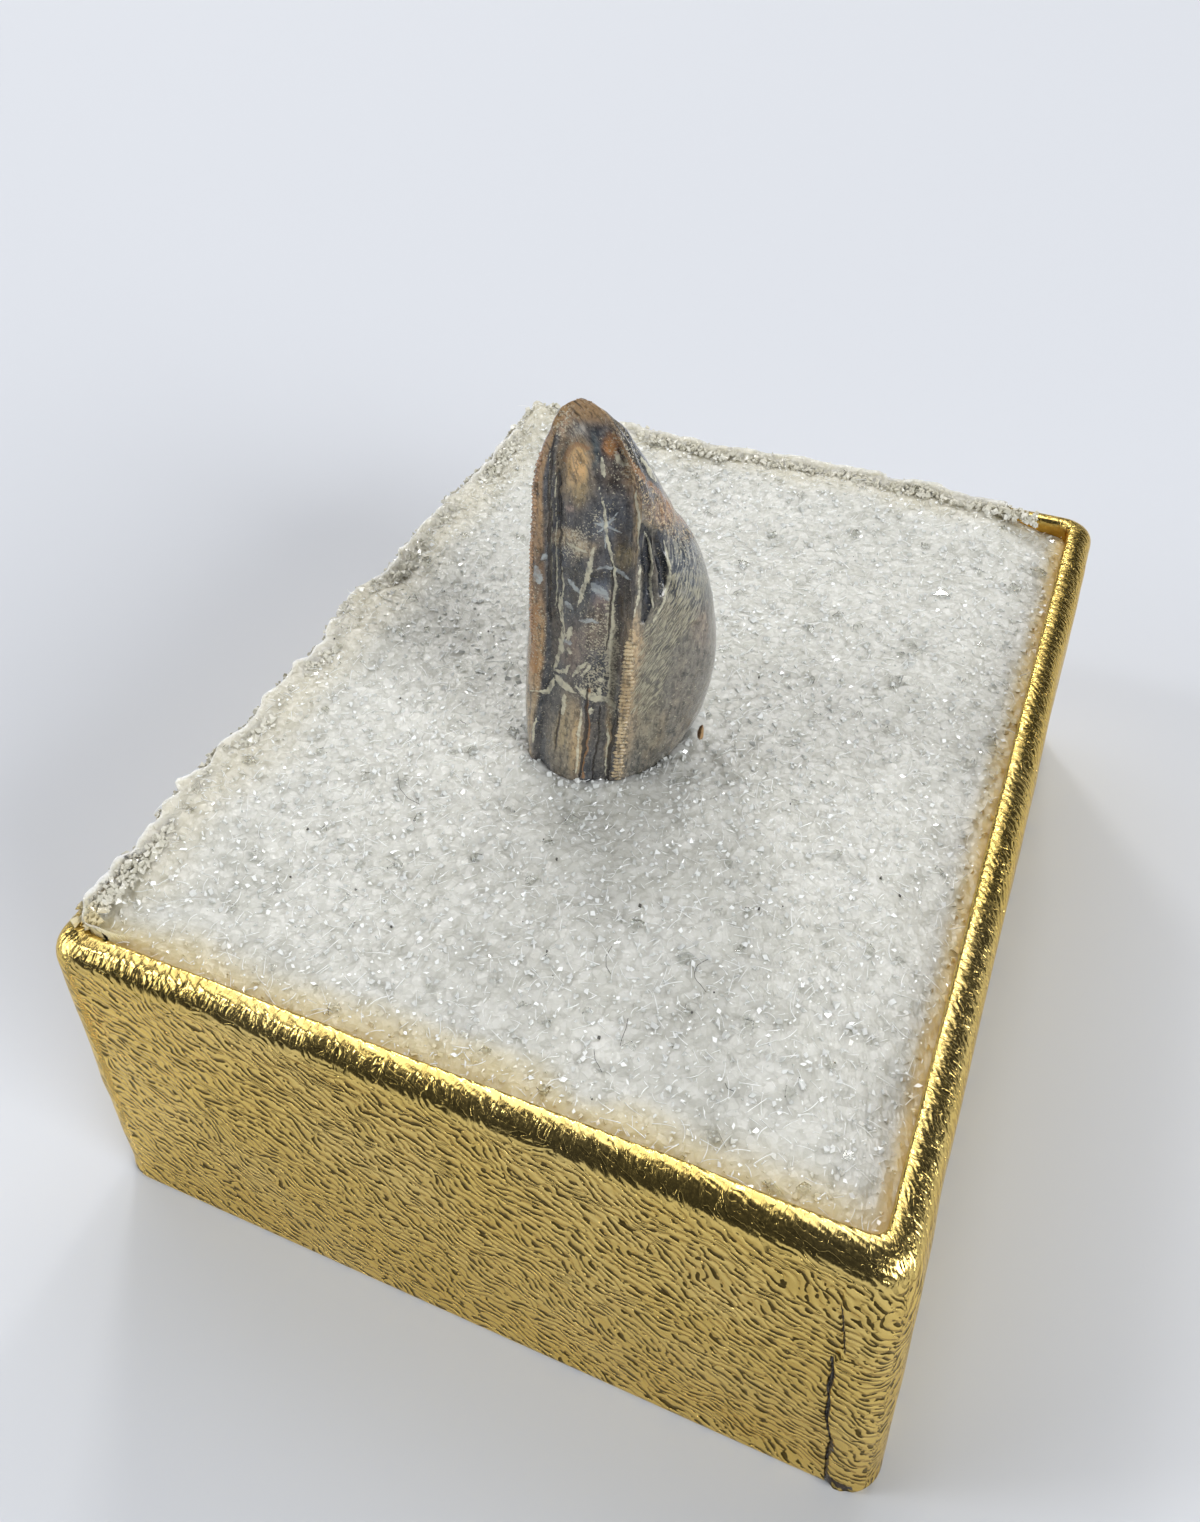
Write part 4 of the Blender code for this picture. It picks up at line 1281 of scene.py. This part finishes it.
def fill_height(x, y):
    """The top of the filling: low at the front and right, heaped at the left and far edges."""
    left = smoothstep(HEAP_REACH, 0.0, x + INNER_X) * (0.55 + 0.45 * uneven(y, LEFT_SEED))
    left = left * smoothstep(FRONT_END, -23.0, y)
    far = smoothstep(HEAP_REACH, 0.0, INNER_Y - y) * (0.6 + 0.4 * uneven(x, FAR_SEED))
    far = far * smoothstep(19.0, 12.0, x)
    corner = np.hypot(x + INNER_X, INNER_Y - y)
    middle = smoothstep(0.0, 8.0, INNER_X - x) * smoothstep(0.0, 8.0, y + INNER_Y)
    height = FILL_LOW + FILL_MIDDLE_RISE * middle
    height = height + np.maximum(LEFT_HEAP * left, FAR_HEAP * far)
    height = height + CORNER_PEAK * smoothstep(CORNER_PEAK_REACH, 0.0, corner)
    return height + LUMP_HEIGHT * lumps(x, y, LUMP_SIZE)


def crossing(centre, directions, outline):
    """How far rays from the centre go before they cross a closed outline."""
    a = outline - centre
    b = np.roll(outline, -1, axis=0) - centre
    side = b - a
    d = directions[:, None, :]
    cross = d[:, :, 0] * side[None, :, 1] - d[:, :, 1] * side[None, :, 0]
    cross = np.where(np.abs(cross) < 1e-12, 1e-12, cross)
    distance = (a[:, 0] * side[:, 1] - a[:, 1] * side[:, 0])[None, :] / cross
    share = (a[None, :, 0] * d[:, :, 1] - a[None, :, 1] * d[:, :, 0]) / cross
    hit = (distance > 0) & (share >= -1e-6) & (share <= 1 + 1e-6)
    return np.where(hit, distance, -1).max(axis=1)


def pebbles(x, y):
    """The relief of packed crumbs: the highest of many little tilted domes around each place."""
    wide, deep = PEBBLE_TABLE
    table = np.random.default_rng(5).random((wide, deep, 5))
    i, j = np.floor(x / PEBBLE).astype(int), np.floor(y / PEBBLE).astype(int)
    best = np.full(len(x), -9.0)
    for di in (-1, 0, 1):
        for dj in (-1, 0, 1):
            cell = table[(i + di) % wide, (j + dj) % deep]
            dx = x - (i + di + cell[:, 0]) * PEBBLE
            dy = y - (j + dj + cell[:, 1]) * PEBBLE
            dome = PEBBLE_RISE * cell[:, 2] - PEBBLE_ROUND * (dx * dx + dy * dy)
            dome += 2 * PEBBLE_TILT * ((cell[:, 3] - 0.5) * dx + (cell[:, 4] - 0.5) * dy)
            best = np.maximum(best, dome)
    return best


def calm(x, y):
    """How much the crumbs stand out: less where the filling was smoothed along the front wall."""
    from_front = y + INNER_Y + 0.5 * np.sin(0.9 * x)
    return 1.0 - 0.7 * smoothstep(2.6, 0.5, from_front) * smoothstep(-15.5, -11.0, x)


def gold_bounce_share(points):
    """How much painted bounce light from the gold walls falls on a point near them, from 0 to 1."""
    x, y = points[:, 0], points[:, 1]
    uneven_reach = 1.0 + 0.35 * smooth_noise(points, 2.5, 31)
    gold_bounce = np.zeros(len(points))
    bands = [(0.85, y + INNER_Y, 0.5, 2.7), (0.30, x + INNER_X, 0.0, 3.5), (0.9, INNER_X - x, 0.0, 1.3),
             (0.35, INNER_Y - y, 0.0, 2.5)]
    for strength, away, start, stop in bands:
        gold_bounce = np.maximum(gold_bounce, strength * (1 - smoothstep(start, stop, away / uneven_reach)))
    return np.clip(gold_bounce, 0, 1)


def as_filling(item, bounce_points=None):
    """Fixes a piece of the filling to the root body, hides the solid filling that it stands in for, and
    paints the gold's bounce light on it where points are given.
    """
    if bounce_points is not None:
        add_values(item, "gold_bounce", gold_bounce_share(bounce_points))
    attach(item, "root")
    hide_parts("filling")


def flat_layer(outline, level):
    """Points of an outline (n, 2) at one level, or at a level of their own."""
    return np.column_stack([outline, np.broadcast_to(level, len(outline))])


def make_bed(material):
    """The body of the filling, from the tray's walls to the pocket round the tooth."""
    centre = np.array(TOOTH_CENTRE)
    width, length = BOX_SHORT - 2 * (WALL + 0.02), BOX_LONG - 2 * (WALL + 0.02)
    edge, _ = rounded_outline(width, length, CORNER_INNER, 4, (BOX_SHORT + BOX_LONG) * 2 / BED_SIDES)
    directions = unit(edge - centre)

    def pocket(height):
        outline = tooth_rings([height], grow=POCKET_GAP)[0]
        return centre + directions * crossing(centre, directions, outline)[:, None]

    mouth = pocket(0.0)
    out = spill(*edge.T)
    ragged = smooth_noise(flat_layer(edge, 0.0), 0.8, 23)
    out = np.where(out > 0.15, np.maximum(out * (1 + 0.3 * ragged) + 0.15 * ragged, 0.16), out)
    crest = fill_height(*edge.T)
    shoulder = edge.copy()
    shoulder[:, 0] -= np.where(edge[:, 0] < -15, out, 0.0)
    shoulder[:, 1] += np.where(edge[:, 1] > 20, out, 0.0)
    over = out > 0.15
    under = BOX_HEIGHT + 0.05
    brim = np.where(over, np.maximum(crest - 0.15, under + SPILL_THICKNESS), crest - 0.15)
    layers = [flat_layer(edge, BED_BOTTOM), flat_layer(edge, np.where(over, under, crest - 0.5)),
              flat_layer(shoulder, np.where(over, under + 0.1, crest - 0.3)), flat_layer(shoulder, brim)]
    for k in range(BED_RINGS + 1):
        flat = shoulder + (mouth - shoulder) * ((k + 0.35) / (BED_RINGS + 0.35))
        from_tooth = np.linalg.norm(flat - mouth, axis=1)
        from_edge = np.linalg.norm(flat - shoulder, axis=1)
        height = fill_height(*flat.T) + COLLAR_RISE * smoothstep(COLLAR_REACH, 0.0, from_tooth)
        layers.append(flat_layer(flat, brim + (height - brim) * np.minimum(1.0, from_edge / EDGE_RAMP)))
    for height in (-0.5, -TOOTH_SUNK - 0.05):
        layers.append(flat_layer(pocket(height), FOOT_LEVEL + height))
    points = np.concatenate(layers)
    crumb = pebbles(points[:, 0], points[:, 1]) + 0.04 + 0.06 * smooth_noise(points, 1.3, 21)
    points[:, 2] += np.where(points[:, 2] > 17.0, crumb * calm(points[:, 0], points[:, 1]), 0.0)
    points = np.vstack([points, [[0, 0, BED_BOTTOM], [*TOOTH_CENTRE, FOOT_LEVEL - TOOTH_SUNK - 0.05]]])
    bed = build_mesh("filling_bed", points, loft_faces(len(layers), len(edge)), material, smooth=False)
    as_filling(bed, points)


# Loose crumbs, flakes and fibres

CUBE = np.array([[-1, -1, -1], [1, -1, -1], [1, 1, -1], [-1, 1, -1],
                 [-1, -1, 1], [1, -1, 1], [1, 1, 1], [-1, 1, 1]], float)
CUBE_FACES = np.array([[0, 2, 1], [0, 3, 2], [4, 5, 6], [4, 6, 7], [0, 1, 5], [0, 5, 4],
                       [1, 2, 6], [1, 6, 5], [2, 3, 7], [2, 7, 6], [3, 0, 4], [3, 4, 7]])
EDGE_SPACING = 0.24
EDGE_LAYERS = 10
FLAKE_SPACING = 0.55
FLAKE_CORNERS = [(-1, -0.5), (0.4, -1), (1, 0.3), (-0.2, 1)]
FIBRES = 4200
FIBRE_SPACING = 0.7
FIBRE_SHORTEST = 0.25
FIBRE_LONGEST = 1.2
FIBRE_RADIUS = 0.03
FIBRE_STEPS = 6


def add_blocks(name, material, corners, gold_bounce=False):
    """One joined mesh of little blocks, each with eight corners (n, 8, 3)."""
    points = corners.reshape(-1, 3)
    faces = (CUBE_FACES[None] + 8 * np.arange(len(corners))[:, None, None]).reshape(-1, 3)
    as_filling(build_mesh(name, points, faces, material, smooth=False), points if gold_bounce else None)


def random_turns(rng, count):
    """Random rotation matrices."""
    w, x, y, z = unit(rng.normal(size=(count, 4))).T
    return np.stack([1 - 2 * (y * y + z * z), 2 * (x * y - z * w), 2 * (x * z + y * w),
                     2 * (x * y + z * w), 1 - 2 * (x * x + z * z), 2 * (y * z - x * w),
                     2 * (x * z - y * w), 2 * (y * z + x * w), 1 - 2 * (x * x + y * y)], -1).reshape(-1, 3, 3)


def scattered(rng, spacing, reach=None):
    """Places on the filling's top, a jittered grid that leaves the tooth free.

    With a reach, only the places that are no farther than that from the tooth."""
    reach_x = INNER_X - 0.15
    reach_y = INNER_Y - 0.15
    gx = np.arange(-reach_x - SPILL_MOST, reach_x, spacing)
    gy = np.arange(-reach_y, reach_y + SPILL_MOST, spacing)
    x, y = (g.ravel() for g in np.meshgrid(gx, gy))
    x = x + rng.uniform(-0.5, 0.5, len(x)) * spacing
    y = y + rng.uniform(-0.5, 0.5, len(y)) * spacing
    inside = (x < reach_x) & (y > -reach_y)
    inside &= x > -reach_x - np.maximum(spill(SPILL_LEFT_AT, y) - 0.1, 0)
    inside &= y < reach_y + np.maximum(spill(x, SPILL_FAR_AT) - 0.1, 0)
    centre = np.array(TOOTH_CENTRE)
    away = np.column_stack([x, y]) - centre
    distance = np.linalg.norm(away, axis=1)
    clear = crossing(centre, unit(away), tooth_rings([0.0], grow=0.04)[0])
    inside &= distance > clear
    if reach is not None:
        inside &= distance < clear + reach
    x, y, from_tooth = x[inside], y[inside], (distance - clear)[inside]
    z = fill_height(np.maximum(x, -INNER_X), np.minimum(y, INNER_Y))
    return np.column_stack([x, y, z + COLLAR_RISE * smoothstep(COLLAR_REACH, 0.0, from_tooth)])


def along_edges(rng):
    """Places on the ragged left and far edges of the filling."""
    y = np.arange(-INNER_Y + 0.2, INNER_Y, EDGE_SPACING)
    x = np.arange(-INNER_X, SPILL_FAR_END, EDGE_SPACING)
    left = [-INNER_X - spill(SPILL_LEFT_AT, y), y, fill_height(-INNER_X, y), -1, 0]
    far = [x, INNER_Y + spill(x, SPILL_FAR_AT), fill_height(x, INNER_Y), 0, 1]
    rows = np.vstack([np.column_stack(np.broadcast_arrays(*side)) for side in (left, far)])
    x, y, top, out_x, out_y = np.repeat(rows, EDGE_LAYERS, axis=0).T
    count = len(x)
    level = np.maximum(top - 0.15, BOX_HEIGHT + 0.2)
    out = rng.uniform(-1.2, 0.22, count)
    along = rng.uniform(-0.2, 0.2, count)
    drop = rng.uniform(0.0, 1.0, count) ** 1.5 * (level - BOX_HEIGHT) * np.where(out > -0.1, 1.0, 0.2)
    return np.column_stack([x + out_x * out + out_y * along, y + out_y * out + out_x * along, level - drop])


def make_grains(name, material, spacing, smallest, largest, lift, seed, reach=None):
    """Irregular crumbs that lie in the top of the filling, or with no spacing on its ragged edges."""
    rng = np.random.default_rng(seed)
    places = scattered(rng, spacing, reach) if spacing else along_edges(rng)
    count = len(places)
    size = rng.uniform(smallest, largest, count)[:, None, None] * rng.uniform(0.55, 1.0, (count, 1, 3)) / 2
    shape = (CUBE[None] + rng.uniform(-0.7, 0.7, (count, 8, 3))) * size
    shape = np.einsum("nij,nkj->nki", random_turns(rng, count), shape)
    lifted = places + np.column_stack([np.zeros((count, 2)), rng.uniform(*lift, count)])
    add_blocks(name, material, shape + lifted[:, None, :], gold_bounce=True)


def make_flakes(material):
    """Tiny thin tilted plates, most of them smaller than a crumb, that catch the light."""
    rng = np.random.default_rng(15)
    places = scattered(rng, FLAKE_SPACING)
    count = len(places)
    turn = rng.uniform(0, 2 * np.pi, count)
    tilt = rng.uniform(0.0, 0.95, count)
    lean = rng.uniform(0, 2 * np.pi, count)
    up = np.column_stack([np.sin(tilt) * np.cos(lean), np.sin(tilt) * np.sin(lean), np.cos(tilt)])
    first = np.column_stack([np.cos(turn), np.sin(turn), np.zeros(count)])
    first = unit(first - up * (first * up).sum(axis=1)[:, None])
    second = np.cross(up, first)
    long = 0.05 + 0.15 * rng.random(count) ** 2.6
    wide = long * rng.uniform(0.25, 0.9, count)
    corners = []
    for a, b in FLAKE_CORNERS:
        at_long = a * long * rng.uniform(0.5, 1.2, count)
        at_wide = b * wide * rng.uniform(0.5, 1.2, count)
        corners.append(first * at_long[:, None] + second * at_wide[:, None])
    middle = places + [0, 0, 0.08]
    thick = up * 0.012
    below, above = ([middle + c + face for c in corners] for face in (-thick, thick))
    add_blocks("filling_flakes", material, np.stack(below + above, 1))


def threads(middle, radius, across):
    """Three-sided tubes along lines (count, steps, 3): their points and faces."""
    count, steps = middle.shape[:2]
    up = np.array([0.0, 0.0, 1.0])
    rings = []
    for k in range(3):
        turn = 2 * math.pi * k / 3
        rings.append(middle + radius[:, :, None] * (math.cos(turn) * across + math.sin(turn) * up))
    points = np.stack(rings, 2).reshape(-1, 3)
    caps = np.array([[2, 1, 0], [3 * steps - 3, 3 * steps - 2, 3 * steps - 1]])
    offset = (np.arange(count) * steps * 3)[:, None, None]
    faces = [(ring_faces(steps, 3)[None] + offset).reshape(-1, 4), (caps[None] + offset).reshape(-1, 3)]
    return points, faces


def make_fibres(material):
    """Short curved fibres on the filling."""
    rng = np.random.default_rng(13)
    places = scattered(rng, FIBRE_SPACING)
    places = places[rng.permutation(len(places))[:FIBRES]]
    count = len(places)
    length = FIBRE_SHORTEST + (FIBRE_LONGEST - FIBRE_SHORTEST) * rng.random(count) ** 1.8
    heading = rng.uniform(0, 2 * np.pi, count)
    bend = rng.normal(0, 0.6, count)
    rise = rng.uniform(-0.1, 0.4, count)
    t = np.linspace(0, 1, FIBRE_STEPS + 1)
    angle = heading[:, None] + bend[:, None] * t[None, :]
    walk = length[:, None] / FIBRE_STEPS
    x = places[:, None, 0] + np.cumsum(np.cos(angle) * walk, axis=1)
    y = places[:, None, 1] + np.cumsum(np.sin(angle) * walk, axis=1)
    z = places[:, None, 2] + 0.08 + rise[:, None] * length[:, None] * t[None, :] * (1 - 0.7 * t[None, :])
    radius = FIBRE_RADIUS * rng.uniform(0.6, 1.1, count)[:, None] * (1 - 0.6 * t[None, :])
    across = np.stack([-np.sin(angle), np.cos(angle), np.zeros_like(angle)], -1)
    points, faces = threads(np.stack([x, y, z], -1), radius, across)
    as_filling(build_mesh("filling_fibres", points, faces, material))


# Stray dark hairs and specks of dust, as seen in the photograph.
HAIRS = [
    [(708, 961), (698, 966), (694, 974), (695, 981), (701, 987), (706, 994)],
    [(628, 1020), (626, 1030), (622, 1040), (620, 1048)],
    [(594, 1051), (595, 1061), (599, 1068), (602, 1074)],
    [(725, 1085), (727, 1090), (734, 1093)],
    [(398, 776), (400, 790), (408, 800), (420, 806)],
    [(612, 948), (606, 958), (606, 968), (611, 976)],
]
DUST = [(640, 907), (547, 953), (597, 920), (692, 1014), (714, 994), (592, 1101), (523, 923), (553, 977)]
HAIR_RADIUS = 0.016
HAIR_STEPS = 10
MORE_DUST = 30


def on_filling(pixels):
    """Where pixels of the photograph meet the top of the filling."""
    rays = np.array([sight_line(p) for p in pixels])
    level = FILL_LOW
    for _ in range(4):
        reach = (level - CAMERA_AT[2]) / rays[:, 2]
        x, y = CAMERA_AT[0] + rays[:, 0] * reach, CAMERA_AT[1] + rays[:, 1] * reach
        level = fill_height(x, y)
    return np.column_stack([x, y, level])


def make_hairs(material):
    """A few long dark hairs and grains of dust."""
    lines = []
    for hair in HAIRS:
        at = np.linspace(0, len(hair) - 1, HAIR_STEPS)
        lines.append(on_line(at, np.arange(len(hair)), on_filling(hair)))
    middle = np.array(lines) + [0, 0, 0.13]
    run = np.gradient(middle, axis=1)
    across = unit(np.stack([-run[:, :, 1], run[:, :, 0], np.zeros(run.shape[:2])], -1))
    points, faces = threads(middle, np.full(middle.shape[:2], HAIR_RADIUS), across)
    as_filling(build_mesh("filling_hairs", points, faces, material))
    rng = np.random.default_rng(18)
    more = scattered(rng, 2.0)
    spots = np.vstack([on_filling(DUST), more[rng.permutation(len(more))[:MORE_DUST]]]) + [0, 0, 0.12]
    count = len(spots)
    size = (0.02 + 0.045 * rng.random(count) ** 2)[:, None, None] * rng.uniform(0.5, 1.3, (count, 1, 3))
    shape = (CUBE[None] + rng.uniform(-0.45, 0.45, (count, 8, 3))) * size
    add_blocks("filling_dust", material, shape + spots[:, None, :])


def finish_chip():
    """The splinter at the tooth's foot keeps its solid and gets its own material."""
    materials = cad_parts["chip"].data.materials
    materials.clear()
    materials.append(chip_material())


make_camera()
make_light()
make_floor()
make_box(gold_material())
enamel = tooth_material()
make_edges(enamel, make_tooth(enamel))
make_bed(bed_material())
crumb = crumb_material()
fibre = fibre_material()
make_grains("filling_bits", crumb, 0.62, 0.08, 0.30, (-0.04, 0.03), 12)
make_grains("filling_collar", crumb, 0.30, 0.08, 0.30, (-0.06, 0.05), 16, reach=0.5)
make_grains("filling_edges", crumb, None, 0.09, 0.34, (-0.08, 0.10), 17)
make_grains("filling_clear", clear_material(), 3.4, 0.35, 0.65, (-0.12, 0.02), 14)
make_flakes(fibre)
make_fibres(fibre)
make_hairs(hair_material())
finish_chip()

bpy.context.scene.view_settings.view_transform = "Standard"

bpy.context.view_layer.update()
